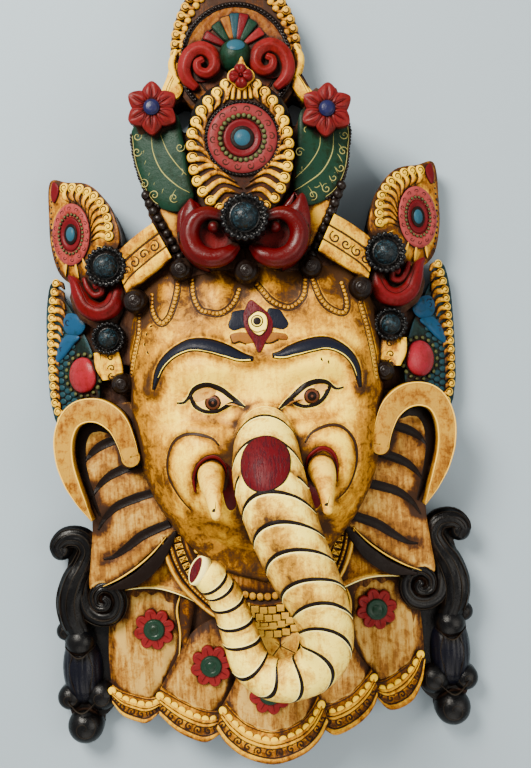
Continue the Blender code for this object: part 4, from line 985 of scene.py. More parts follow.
class MaskFace(bpy.types.Operator):
    """Builds the face: a glazed dome with brows, eyes, a third eye, cheek lines and strings of pearls."""

    bl_idname = "mask.face"
    bl_label = "Face"

    def execute(self, context):
        sizes = context.scene.mask_sizes
        line_width = sizes.painted_line * MILLIMETRES
        outline = curve(FACE_LINE, 400, closed=True)
        face = mound(outline, face_top, FACE_CENTRE, drop=9.0, rings=96, under=5, wash=face_glaze_and_shade)
        make_piece("face", [("cream", face)])

        marks = Painted()
        for side in (-1, 1):
            brow = curve(BROWS[side], 60)
            half = spread(BROW_WIDTHS, 60) / 2
            marks.add(
                "ink",
                stroke(BROWS[side], BROW_WIDTHS, 1.0, 1.5, steps=60, section=SECTION_FLAT).on(face_top),
            )
            inner = (0.8, *(width - 3.4 for width in BROW_WIDTHS[1:-1]), 0.6)
            marks.add("navy", stroke(BROWS[side], inner, 0.9, 0.3, steps=60).moved(z=1.0).on(face_top))
            # A pale ivory line along the brow's lower edge: a painted highlight.
            edge = beside(brow, -side * (half - 1.5))
            marks.add(
                "ivory",
                stroke(edge[1:-6], (1.5, 1.1, 0.5, 0.9, 1.0, 0.4), 0.5, 0.5, smooth=False).moved(z=1.1).on(
                    face_top
                ),
            )
            lids = np.vstack([UPPER_LIDS[side][2:], LOWER_LIDS[side][-2:0:-1]])
            # The eye white darkens towards its rim as painted shade under the lids.
            white = patch(
                lids, 64, flat(0.3), IRISES[side], drop=1.5, rings=8,
                wash=lambda x, y, t: 0.20 * fade(t, 0.70, 1.0),
            )
            marks.add("eye_white", white.on(face_top))
            for path, widths in ((UPPER_LIDS[side], LID_WIDTHS), (LOWER_LIDS[side], LOWER_WIDTHS)):
                worn, dark = inked(path, np.array(widths) * line_width / 1.6, 0.7, 0.9, steps=52)
                marks += [("ivory", worn.on(face_top)), ("ink", dark.on(face_top))]
            for paint_name, radius, rise in (
                ("ink", 7.4, 0.55), ("iris", 6.2, 0.75), ("ink", 4.2, 0.95), ("iris", 1.3, 1.1)
            ):
                disc = mound(round_line(IRISES[side], radius, 32), flat(rise, 0.2), drop=1.2, rings=4)
                marks.add(paint_name, disc.on(face_top))
            crease = stroke(
                CHEEK_LINES[side], (1.4, 2.7, 3.0, 2.6, 2.3, 2.0, 1.6, 0.8), 0.5, 1.2, steps=60,
                section=SECTION_FLAT,
            )
            marks.add("brown_line", crease.on(face_top))
            # The mouth's red, darker towards the top as painted shade in the gap by the trunk.
            pool = curve(MOUTH_SHADE_POOLS[side], 40, closed=True)
            marks.add(
                "crimson_plain",
                mound(
                    pool, flat(0.4, 0.3), drop=1.4, rings=8, wash=lambda x, y, t: 0.65 * fade(y, -128, -108)
                ).on(face_top),
            )
            rim = stroke(
                MOUTH_RIMS[side], (1.6, 3.6, 4.2, 4.2, 3.6, 2.8, 1.0), 1.8, 1.5, steps=44, wash=0.12
            )
            marks.add("scroll_red", rim.on(face_top))
            gleam = beside(curve(MOUTH_RIMS[side], 44), -side * 1.6 if side < 0 else -1.6)
            marks.add(
                "pink",
                stroke(gleam[8:-6], (0.3, 1.0, 1.1, 0.3), 0.5, 0.5, smooth=False).moved(z=1.0).on(face_top),
            )
        make_piece("face_marks", marks)

        pearls = Painted()
        for strings, paint_name, radius, rise, apart, points, widths in PEARL_STRINGS:
            for string in strings:
                count = int(length_of(curve(string, 60)) / PEARL_SPACING)
                pearls.add(paint_name, bead_row(string, count, radius, rise).on(face_top))
                for distance in (-apart, apart):
                    edge = beside(curve(string, points), distance)
                    pearls.add("brown_line", stroke(edge, widths, 0.25, 1.0, smooth=False).on(face_top))
        for at, turn in FOREHEAD_TICKS:
            tick = stroke([(-1.8, 0), (0, 0.3), (1.8, 0)], (0.5, 1.9, 0.5), 0.3, 1.0)
            pearls.add("ink", copies(tick, [at], turn).on(face_top))
        make_piece("face_pearls", pearls)

        third = Painted()
        diamond = [
            (2.7, 51.6), (9.6, 46.3), (17.4, 39.1), (22, 30.7), (20.1, 20.9), (14.2, 12.2), (8.4, 3.5),
            (4.3, 11.8), (-1.5, 22), (-4.6, 32.1), (-3.2, 41.9),
        ]
        for lobe in (
            [
                (-2, 41.5), (-8, 42.5), (-14, 41), (-15.5, 36), (-18, 31), (-17.6, 27), (-13, 24.5),
                (-6, 26.5), (0, 27),
            ],
            [
                (18, 42), (24, 42.5), (29.5, 40.5), (32.5, 35), (35.5, 30), (35, 26), (30.5, 23.5),
                (24, 25), (18, 27),
            ],
        ):
            third.add("navy", patch(lobe, 40, flat(1.1, 0.6), drop=1.5, rings=5).on(face_top))
        for mark in (
            [(-17, 20.5), (-7, 22.4), (1.5, 20), (5.5, 14), (-3, 12), (-9, 14.5), (-14.5, 13.6)],
            [(15, 20), (23.7, 20.8), (33.5, 18.6), (33.5, 13.8), (26, 14.5), (19, 12), (12, 13)],
        ):
            third.add("ochre", patch(mark, 36, flat(1.0, 0.5), drop=1.5, rings=5, wash=0.1).on(face_top))
            third.add(
                "ink",
                stroke(np.array(mark)[[0, 6, 5, 4]] - [0, 0.6], (0.5, 1.0, 0.5), 0.9, 1.0).on(face_top),
            )
        third.add("crimson", patch(diamond, 60, flat(1.7, 0.7), drop=1.5, rings=7).on(face_top))
        cream = [
            (3.8, 38.9), (9.4, 40.9), (15.5, 37.4), (17.3, 31), (15.7, 23.8), (10, 18.7), (3.9, 21.7),
            (0.2, 28.2), (0, 34.6),
        ]
        third.add("ivory", patch(cream, 44, flat(2.2, 0.5), drop=0.5, rings=6).on(face_top))
        third.add("ink", stroke(np.vstack([cream, cream[:1]]), 0.7, 2.5, 0.5, steps=60).on(face_top))
        for paint_name, radius, rise in (("ink", 5.6, 2.45), ("ivory", 4.5, 2.6), ("ink", 3.6, 2.8)):
            third.add(
                paint_name,
                mound(round_line((7.8, 31.8), radius, 26), flat(rise, 0.2), drop=0.5, rings=4).on(face_top),
            )
        third.add("ink", stroke([(1.5, 25), (7, 21.8), (14, 23.5)], (0.4, 1.0, 0.4), 2.6, 0.5).on(face_top))
        make_piece("third_eye", third)
        return {"FINISHED"}


# The trunk and the tusks


TRUNK_LINE = [
    (10, -58, 90), (10, -76, 112), (11, -104, 136), (17, -131, 146), (26, -160, 151), (38, -190, 152.5),
    (49, -216, 151), (54, -243, 146), (49, -265, 139), (31, -280, 131), (8, -284, 125), (-12, -271, 121),
    (-20, -249, 118), (-27, -225, 117), (-35, -206, 118), (-46, -190, 122),
]
TRUNK_RADII = (20, 27.5, 31, 31, 29.5, 28, 25, 23, 21, 19.5, 18.3, 17.4, 16.5, 15.5, 15, 14.5)
TRUNK_RINGS = (
    0.056, 0.119, 0.164, 0.213, 0.270, 0.325, 0.387, 0.437, 0.492, 0.560, 0.642, 0.705, 0.762, 0.823, 0.867,
    0.913, 0.951, 0.976,
)
# The red spot lies at this share of the trunk's length, over this ring.
SPOT_SHARE = 0.163
SPOT_RING = 2
# How far round the trunk a ring runs on each side, in radians.
RING_REACH = 1.52
SHORT_REACH = 1.15
FIRST_SHORT_RING = 16
WIDE_RINGS = (9, 10, 11)
NOSTRIL_LENGTHWAYS = np.array([0.34, 0.94, 0.0])


def ring_slant(share, angle):
    """How far a ring runs on towards the tip, in millimetres, as it goes round the trunk: it is bowed up
    at the front, and lower on its right.
    """
    bow = np.interp(
        share, (0, 0.05, 0.2, 0.3, 0.5, 0.6, 0.7, 0.8, 0.95, 1), (0, 13, 22, 23, 24, 16, 12, 5, 6, 0)
    )
    skew = np.interp(share, (0, 0.1, 0.2, 0.42, 0.56, 0.72, 1), (0, -2, -8, -7, -18, -3, 0))
    round_front = np.clip(around(angle), -1.3, 1.3)
    return bow * (1 - np.cos(round_front)) + skew * np.sin(round_front)


TUSK_LINE = [(49, -98, 92), (49, -112, 131), (47, -134, 158)]
TUSK_LEAN = [(8.5, 0, 0), (10.5, 0, 0), (12.5, 0, 0)]
TUSK_RADII = (12.5, 12.3, 10.5, 7.2, 4.2)


def tusk_line(side):
    """A tusk's middle line: mirrored for the left one, then both lean to the right."""
    return other_side(TUSK_LINE, side) + TUSK_LEAN


class MaskTrunk(bpy.types.Operator):
    """Builds the trunk with its inked rings, red spot and nostril, and the two tusks."""

    bl_idname = "mask.trunk"
    bl_label = "Trunk and tusks"

    def execute(self, context):
        sizes = context.scene.mask_sizes
        depth = sizes.ring_depth * MILLIMETRES
        tube = Tube(TRUNK_LINE, TRUNK_RADII, 400)
        rings = np.array(TRUNK_RINGS)
        extra = (rings[:, None] + np.array([-2.0, -0.9, 0, 0.9, 2.0]) / tube.length).ravel()
        shares = np.unique(np.round(np.r_[np.linspace(0, 1, 130), extra[extra < 1]], 5))

        def ring_gap(share):
            return (share[..., None] - rings)[
                np.arange(len(share))[:, None], np.arange(share.shape[1]),
                np.abs(share[..., None] - rings).argmin(-1),
            ] * tube.length

        def groove(share, angle):
            gap = ring_gap(share)
            return -depth * bell(gap, 1.3) + 0.4 * depth * bell(np.abs(gap) - 4, 3)

        # The trunk's glaze with painted light: painted shade by the rings, on its flanks and at its root, a
        # painted highlight near its front, and real brown blotches.
        def glaze(share, angle):
            gap = ring_gap(share)
            round_front = around(angle)
            # Painted shade along each ring and on its root side.
            edge = 0.40 * bell(gap, 2.4) + 0.16 * bell(gap + 4, 4.0)
            # Painted shade down the trunk's flanks, less a painted highlight just off its front.
            sides = 0.34 * fade(np.abs(round_front), 0.75, 1.5) - 0.08 * bell(round_front + 0.35, 0.35)
            # Brown blotches of glaze part way down.
            blotch = 0.30 * fade(share, 0.20, 0.24) * fade(-share, -0.50, -0.34)
            blotch = blotch * bell(round_front - 0.25, 0.45)
            # Painted shade where the trunk leaves the face.
            root = 0.34 * fade(-share, -0.055, 0.0)
            return edge + sides + root + blotch

        skin_shape = tube.skin(shares, 52, groove, glaze, ends=(0.6, 0.75), slant=ring_slant)
        trunk = Painted()
        trunk.add("ivory", skin_shape)
        for number, share in enumerate(TRUNK_RINGS):
            reach = RING_REACH if 0 < number < FIRST_SHORT_RING else SHORT_REACH
            spans = [(-reach, -0.92), (0.90, reach)] if number == SPOT_RING else [(-reach, reach)]
            for low, high in spans:
                angle = np.linspace(low, high, 36)
                radius = np.interp(share, tube.share, tube.radius)
                path = np.c_[angle * radius, share * tube.length + ring_slant(share, angle)]
                width = 3.0 if number in WIDE_RINGS else 2.3 if number < SPOT_RING else 2.7
                dark = stroke(
                    path, (0.6, width, width * 1.1, width, 0.6), 0.35, 1.2, section=SECTION_FLAT,
                    smooth=False,
                )
                pale = stroke(path + [0, 2.0], (0.3, 1.2, 1.4, 1.2, 0.3), 0.3, 1.0, smooth=False)
                trunk += [("ivory_light", tube.wrap(pale)), ("ink", tube.wrap(dark))]
        spot = round_line((0.5, SPOT_SHARE * tube.length), 23.2, 60, stretch=0.82)
        trunk.add("crimson", tube.wrap(mound(spot, flat(0.9, 0.6), drop=1.5, rings=12)))
        trunk.add("ink", tube.wrap(stroke(np.vstack([spot, spot[:1]]), 1.0, 0.6, 1.0, smooth=False)))
        make_piece("trunk", trunk)

        ahead = directions(curve(TRUNK_LINE, 60))[-1]
        facing = unit(ahead * 0.55 + np.array([-0.50, 0.0, 0.66]))
        along = unit(NOSTRIL_LENGTHWAYS - facing * np.dot(NOSTRIL_LENGTHWAYS, facing))
        wide = np.cross(along, facing)
        centre = np.array(TRUNK_LINE[-1], float) + ahead * 2.5 + facing * 9.5
        angle = np.linspace(0, FULL_TURN, 48, endpoint=False)
        nostril = Painted()
        for paint_name, half_long, half_wide, out in (
            ("ivory_light", 13.2, 8.6, 0.0), ("crimson", 11.8, 5.6, 0.7)
        ):
            lens = np.c_[
                half_wide * np.cos(angle) * np.abs(np.cos(angle)) ** 0.25, half_long * np.sin(angle)
            ]
            plate = mound(
                lens, lambda x, y, t: out + 4.0 * np.sqrt(1 - np.clip((x / 15) ** 2 + (y / 17) ** 2, 0, 1)),
                drop=6, rings=8,
            )
            x, y, z = plate.points.T
            points = centre + x[:, None] * wide + y[:, None] * along + z[:, None] * facing
            nostril.add(paint_name, plate.changed(points))
        make_piece("nostril", nostril)

        for side_name, side in SIDES:
            tusk = Tube(tusk_line(side), TUSK_RADII, 60)
            # Each tusk darkens near its root in the mouth and along one side: painted shade.
            body = tusk.skin(
                sides=28,
                wash=lambda share, angle: 0.9 * fade(-share, -0.30, 0.02) + 0.25 * fade(
                    np.sin(angle) * side, -0.2, 1.0
                ),
                ends=(0.5, 0.8),
            )
            chip = mound(
                round_line((1.0, tusk.length * 0.965), 1.9, 14, lobes=3, lobe_depth=0.3), flat(0.3, 0.2),
                drop=1.0, rings=3,
            )
            crack = stroke(
                [(-2, tusk.length * 0.86), (-1, tusk.length * 0.93), (0.5, tusk.length * 0.99)],
                (0.2, 0.6, 0.2), 0.2, 0.8,
            )
            make_piece(
                f"tusk_{side_name}",
                [("tusk", body), ("ink", tusk.wrap(chip)), ("ink", tusk.wrap(crack))],
            )
        return {"FINISHED"}


# Shared carved parts


def level(z):
    """A flat surface at one height."""
    return lambda x, y, t=None: np.full_like(x, z)


def raised(surface, lift):
    """A surface moved up by a lift."""
    return lambda x, y, t=None: surface(x, y) + lift


def leaning(span, inner, outer, rounding=0.0):
    """A height that falls from inner to outer between two distances from the middle, rounded at its
    edge.
    """
    return lambda x, y, t=0.0: np.interp(np.abs(x), span, (inner, outer)) - rounding * np.power(t, 6)


def stepped(*steps):
    """A height read from steps of (share of the radius, height)."""
    shares, heights = zip(*steps)
    return lambda x, y, t: np.interp(t, shares, heights)


def strip(first, second, profile, surface, drop=10.0, steps=70, wash=0.0, pooled_glaze_and_shade=0.45):
    """A band between two lines. Its height above the surface is read from a profile of (share of the way
    across, height), and its underside lies a drop below. Glaze and painted shade gather in the low lines of
    the profile.
    """
    first = curve(first, steps)
    second = curve(second, steps)
    shares, heights = (np.array(values) for values in zip(*profile))
    flat_points = first[:, None] + shares[:, None] * (second - first)[:, None]
    top = surface(flat_points[..., 0], flat_points[..., 1]) + heights
    low = surface(flat_points[..., 0], flat_points[..., 1])[:, ::-1] - drop
    rings = np.concatenate([np.dstack([flat_points, top]), np.dstack([flat_points[:, ::-1], low])], axis=1)
    # How low each line of the profile lies, for the glaze and painted shade that gather there.
    depth = np.clip((heights.max() - heights) / max(np.ptp(heights[1:-1]), 1e-6), 0, 1)
    depth[[0, -1]] = np.minimum(depth[[0, -1]], 0.6)
    return skin(rings, wash + pooled_glaze_and_shade * np.tile(np.r_[depth, depth[::-1]], (steps, 1)))


def spiral_line(centre, radius, turns=1.4, start=0.0, way=1, count=26):
    """A line that winds in to its centre: its radius falls evenly while it turns."""
    angle = start + way * np.linspace(0, FULL_TURN * turns, count)
    reach = radius * np.linspace(1, 0.12, count)
    return np.asarray(centre) + np.c_[np.cos(angle), np.sin(angle)] * reach[:, None]


def comma(
    tail, head, radius, surface, way=1, width=4.2, body="gold", line="brown_line", rise=2.4, sag=0.18
):
    """A carved comma: a domed head with a spiral groove and a bowed tail that runs out to a point."""
    tail = np.asarray(tail, float)
    head = np.asarray(head, float)
    away = tail - head
    bow = np.array([-away[1], away[0]]) * sag * way
    path = np.array([tail, (tail + head) / 2 + bow, head + away / np.linalg.norm(away) * radius * 0.4])
    # The tail is darkest at its far end: painted shade in the gaps between commas.
    bar = stroke(
        path, (1.4, width * 0.95, width), rise * 0.8, 3.0, steps=16, wash=np.linspace(0.95, 0.12, 16)
    )
    spiral = spiral_line(head, radius * 0.72, 1.25, math.atan2(away[1], away[0]) + way * 0.6, way, 20)
    groove = stroke(spiral, (0.5, 1.15, 1.15, 0.8), 0.45, 1.0, steps=22).moved(z=rise * 0.82)
    made = Painted()
    made.add(body, bar.on(surface))
    made.add(body, button(head, radius, rise, 20, 5, drop=3.0).on(surface))
    made.add(line, groove.on(surface))
    return made


def ink_curl(centre, radius, surface, turns=1.3, start=0.0, way=1, width=0.9, line="brown_line", rise=0.3):
    """A drawn spiral, as incised in a band."""
    path = spiral_line(centre, radius, turns, start, way, 18)
    drawn = stroke(path, (0.4, width, width, width * 0.7), rise, 1.2, steps=18, section=SECTION_FLAT)
    return (line, drawn.on(surface))


def ruffled_boss(centre, top, radius, knob):
    """A round boss: a rim of raised scallops round a domed knob."""
    rim = top - 0.62 * radius
    shell = round_line(centre, radius, 120, lobes=20, lobe_depth=0.07)
    dish = stepped(
        (0, rim), (0.62, rim), (0.70, rim + 0.4), (0.86, rim + 2.2), (0.95, rim + 1.8), (1, rim - 0.5)
    )
    bumps = copies(button((0, 0), radius * 0.13, 2.0, 12, 4), round_line(centre, radius * 0.88, 20))
    ring = round_line(centre, radius * 0.66, 72, lobes=24, lobe_depth=0.05)
    ring_top = stepped((0, rim), (0.9, rim + 1.8), (1, rim + 0.8))

    def knob_top(x, y, t):
        return rim + 0.5 + (top - rim - 0.5) * np.sqrt(np.clip(1 - t**2.2, 0, 1))

    made = Painted()
    made.add("hair", mound(shell, dish, drop=26, rings=18, under=3))
    made.add("hair", bumps.moved(z=rim + 1.0))
    made.add("hair", mound(ring, ring_top, drop=4, rings=8, under=2))
    made.add(knob, mound(round_line(centre, radius * 0.58, 48), knob_top, drop=4, rings=14, under=2))
    return made


def ringed_bead(centre, z, radius):
    """A dark bead: a ball with a raised ring and a knob on the side that faces out."""
    x, y = centre
    ringed = stepped(
        (0, radius * 0.98), (0.16, radius * 0.98), (0.24, radius * 0.86), (0.36, radius * 0.90),
        (0.48, radius * 0.86), (0.56, radius * 0.72), (0.80, radius * 0.52), (0.95, radius * 0.18),
        (1, -radius * 0.3),
    )
    top = mound(round_line((0, 0), radius, 36), ringed, drop=radius * 0.8, rings=20)
    return ("bead", top.moved(x, y, z))


def rosette(centre, z, radius, stretch, rim, centre_paint, curls=14, beads=24):
    """A round flower in rings: a curled outer ring, a circle of beads, a crimson ring and a domed stone."""
    x, y = centre
    whole = round_line((0, 0), radius, 80, stretch=stretch)
    outer = stepped((0, 1.0), (0.60, 1.6), (0.66, 2.6), (0.80, 3.2), (0.94, 2.6), (1, 1.0))
    cup = stepped((0, 2.2), (0.7, 2.2), (0.8, 3.2), (0.93, 3.0), (1, 1.8))
    made = Painted()
    made.add(rim, mound(whole, outer, drop=5, rings=16))
    made.add("crimson_plain", mound(whole * 0.56, cup, drop=2, rings=14))
    made.add("ink", mound(whole * 0.335, flat(3.4, 0.3), drop=2, rings=4))
    made.add(centre_paint, mound(whole * 0.29, dome(5.6), drop=1, rings=8))
    places = curve(round_line((0, 0), radius * 0.64, 80, stretch=stretch), beads, closed=True)
    made.add("leaf_bead", copies(ball(radius * 0.072, 5, 8), places).moved(z=2.7))
    spots = curve(round_line((0, 0), radius * 0.83, 80, stretch=stretch), curls, closed=True)
    angle = np.arctan2(spots[:, 1], spots[:, 0])
    for spot, turn in zip(spots, angle):
        made.append(
            ink_curl(spot, radius * 0.115, level(3.0), 1.1, turn + 2.0, -1, radius * 0.030, "brown_line")
        )
    return [(name, shape.moved(x, y, z)) for name, shape in made]


# The ears


EAR_LINE = [
    (95, -40), (152, -42), (174, -62), (178, -88), (171, -114), (161, -134), (160, -158), (163, -184),
    (165, -213), (148, -209), (127, -197), (106, -180), (80, -160), (75, -100),
]
EAR_RIM = [
    (116, -87), (120, -71), (128, -54), (143, -43), (160, -42), (173, -50), (180, -67), (180, -88),
    (175, -107), (166, -127), (156, -145),
]
EAR_RIM_WIDTHS = (17, 19, 22, 23, 22.5, 20, 18.5, 17, 15, 10, 1.5)
EAR_GROOVES = [
    [(163, -90), (156, -82), (145, -75), (130, -70)],
    [(158, -124), (151, -114), (140, -105), (124, -98), (108, -93)],
    [(154, -156), (147, -145), (134, -134), (116, -127), (97, -122)],
    [(150, -184), (140, -182), (126, -173), (112, -163), (96, -156), (84, -152)],
]
EAR_GROOVE_WIDTHS = (1.5, 6.0, 8.5, 9.0, 7.0)
EAR_FLAT = leaning((90, 175), 56.5, 42.5)
EAR_RIM_TOP = leaning((120, 185), 71.5, 57.5)


class MaskEars(bpy.types.Operator):
    """Builds the ears: a brown grooved body, a hooked cream rim and the flap of the shoulder below."""

    bl_idname = "mask.ears"
    bl_label = "Ears"

    def execute(self, context):
        groove_depth = context.scene.mask_sizes.groove_depth * MILLIMETRES
        for name, side in SIDES:
            grooves = [other_side(groove, side) for groove in EAR_GROOVES]
            rim = other_side(EAR_RIM, side)

            def body_top(x, y, t=0.0):
                height = EAR_FLAT(x, y) - 2.0 * t**8
                for groove in grooves:
                    gap, along = gap_to(x, y, groove)
                    height = height - 0.7 * groove_depth * bell(gap, 4.2) * np.clip(along * 6, 0, 1)
                return height

            # Painted shade on the ear's body inside the rim and beside the grooves, glaze overall, and
            # darker at its edge.
            def ear_glaze_and_shade(x, y, t):
                gap, _ = gap_to(x, y, rim)
                wash = 0.60 * fade(-gap, -20, -12) + 0.25 * fade(t, 0.9, 1.0) + 0.10
                for groove in grooves:
                    wash = wash + 0.45 * bell(near(x, y, groove), 6.5)
                return np.clip(wash, 0, 1.2)

            outline = curve(other_side(EAR_LINE, side), 150, closed=True)
            pieces = Painted()
            pieces.add(
                "ear",
                mound(
                    outline, body_top, other_side([125, -115], side), drop=18, rings=52, under=4,
                    wash=ear_glaze_and_shade,
                ),
            )
            for groove in grooves:
                pieces.add(
                    "ink",
                    stroke(groove, EAR_GROOVE_WIDTHS, 0.7, 2, steps=60, section=SECTION_FLAT).on(body_top),
                )
            # A dark ink band on the body along the inside of the rim: painted shadow of the raised rim.
            rim_shadow = beside(curve(rim, 80), -side * spread((8, 14, 16, 17, 17, 15, 13, 11, 8, 5), 80))
            pieces.add(
                "ink",
                stroke(
                    rim_shadow[14:], (1.0, 8, 10, 10, 9, 8, 6, 2), 0.4, 2, smooth=False, section=SECTION_FLAT
                ).on(EAR_FLAT),
            )
            # A pale line along the ear's lower edge: a painted highlight.
            edge = other_side([(152, -210), (136, -203), (118, -192), (102, -179), (88, -164)], side)
            pieces.add("ear_edge_highlight", stroke(edge, (0.4, 1.4, 1.5, 1.3, 0.4), 1.2, 4).on(EAR_FLAT))
            # A dark ink band along the slot under the ear: painted shadow in the slot.
            under_ear_shadow = other_side([(79, -160), (89, -174), (102, -190), (122, -205), (148, -213)], side)
            pieces.add(
                "ink", stroke(under_ear_shadow, (3, 10, 13, 11, 2), 0.6, 12, section=SECTION_FLAT).on(EAR_FLAT)
            )
            make_piece(f"ear_{name}", pieces)

            widths = spread(EAR_RIM_WIDTHS, 110)
            hooked = stroke(curve(rim, 110), widths, 2.2, 20.0, section=SECTION_FLAT, smooth=False)
            crown = Painted()
            crown.add("ear_rim", hooked.on(EAR_RIM_TOP))
            crown.add(
                "ear_rim",
                mound(
                    round_line(rim[0], 8.7, 30), lambda x, y, t: EAR_RIM_TOP(x, y) + 2.2 - 0.6 * t**6,
                    drop=20, rings=8, under=2,
                ),
            )
            # Pale lines along both edges of the rim: painted highlights.
            for way in (-1, 1):
                line = beside(curve(rim, 110), way * (widths / 2 - 0.9))
                crown.add(
                    "ear_edge_highlight",
                    stroke(line, (0.4, 1.5, 1.5, 1.5, 0.4), 0.5, 2, smooth=False).moved(z=2.0).on(
                        EAR_RIM_TOP
                    ),
                )
            make_piece(f"ear_rim_{name}", crown)

            flap_top = leaning((62, 165), 41, 33)
            upper = other_side([(80, -161), (93, -184), (114, -201), (141, -212), (158, -215)], side)
            lower = other_side([(62, -232), (79, -223), (100, -216), (122, -215), (150, -219)], side)
            flap = strip(
                upper, lower,
                ((0, 0), (0.1, 0.5), (0.5, 0.8), (0.84, 0.3), (0.86, 1.3), (0.98, 1.3), (1, 0.2)), flap_top,
                drop=12, wash=0.10, pooled_glaze_and_shade=0.15,
            )
            make_piece(
                f"shoulder_{name}",
                [("flap", flap), ("ivory_light", stroke(lower, (0.8, 2.0, 2.0, 0.8), 1.6, 4).on(flap_top))],
            )
        return {"FINISHED"}


# The robe


SCALLOP_SPACING = 7.6
HEM_CURL_SPACING = 9.0
# The panels beside the front one: outline and middle. The left ones are mirrored.
PANELS = {
    "outer": (
        [
            (104, -209), (83, -222), (76, -250), (84, -292), (104, -330), (119, -349), (139, -342),
            (151, -322), (154, -280), (149, -235), (135, -213),
        ],
        (116, -275),
    ),
    "inner": (
        [
            (46, -250), (28, -276), (30, -312), (47, -352), (63, -366), (83, -359), (103, -340),
            (104, -316), (90, -292), (73, -264),
        ],
        (66, -305),
    ),
}
FRONT_PANEL = [(0, -262), (22, -282), (36, -312), (49, -334), (53, -350), (44, -367), (25, -381), (0, -388)]
# Each panel's hem: its upper line, its lower line and its height.
HEMS = {
    "outer_-1": (
        [(-151, -311), (-142, -317), (-131, -321), (-116, -325), (-100, -323)],
        [(-151, -327), (-142, -340), (-128, -347), (-118, -348), (-104, -337)], 30.0,
    ),
    "inner_-1": (
        [(-103, -313), (-91, -321), (-78, -329), (-62, -336), (-45, -338)],
        [(-105, -338), (-90, -354), (-72, -364), (-60, -366), (-46, -358)], 41.0,
    ),
    "front": (
        [(-41, -327), (-32, -338), (-19, -349), (3, -356), (26, -350), (39, -339), (48, -326)],
        [(-51, -350), (-41, -366), (-23, -380), (3, -387), (29, -380), (46, -367), (56, -349)], 52.0,
    ),
    "inner_1": (
        [(52, -338), (66, -334), (80, -327), (92, -316), (101, -306)],
        [(50, -358), (63, -366), (83, -358), (98, -345), (105, -330)], 41.0,
    ),
    "outer_1": (
        [(101, -320), (114, -319), (128, -311), (139, -303), (148, -293)],
        [(104, -334), (118, -348), (139, -341), (150, -322), (154, -300)], 30.0,
    ),
}
ROBE_FLOWERS = {
    "outer_-1": (-107, -257), "inner_-1": (-53, -292), "front": (2, -318), "inner_1": (56, -290),
    "outer_1": (109, -248),
}
COLLAR_OUTER = [
    (-96, -165), (-92, -185), (-82, -208), (-66, -227), (-47, -243), (-22, -253), (5, -256), (35, -250),
    (60, -231), (78, -208), (88, -185), (92, -165),
]
COLLAR_INNER = [
    (-66, -158), (-61, -180), (-49, -202), (-33, -217), (-12, -225), (12, -226), (32, -221), (49, -203),
    (60, -182), (65, -158),
]


def robe_flower(centre, z):
    """A red flower of eight round petals with a green button in it."""
    angle = np.linspace(0, FULL_TURN, 8, endpoint=False) + 0.2
    petal_top = stepped((0, 3.4), (0.55, 3.6), (0.8, 4.2), (0.93, 3.6), (1, 1.5))
    petal = mound(round_line((13.6, 0), 6.6, 22, stretch=0.93), petal_top, drop=3, rings=8)
    button_top = stepped(
        (0, 6.6), (0.34, 6.2), (0.42, 5.2), (0.50, 5.2), (0.58, 6.0), (0.86, 6.2), (0.94, 5.2), (1, 3.6)
    )
    made = Painted()
    made.add("coral_red", copies(petal, np.zeros((8, 2)), angle))
    made.add("coral_red", mound(round_line((0, 0), 14, 48), flat(2.6), drop=3, rings=4))
    made.add("ink", mound(round_line((0, 0), 11.6, 40), flat(3.2, 0.4), drop=2, rings=4))
    made.add("button", mound(round_line((0, 0), 10.5, 44), button_top, drop=2, rings=20))
    vein = stroke([(8.6, 0), (12, 0.3), (17.2, 0)], (0.4, 0.9, 0.4), 0.3, 1.2)
    made.add("crimson_plain", copies(vein, np.zeros((8, 2)), angle).moved(z=3.5))
    return [(name, shape.moved(*centre, z)) for name, shape in made]


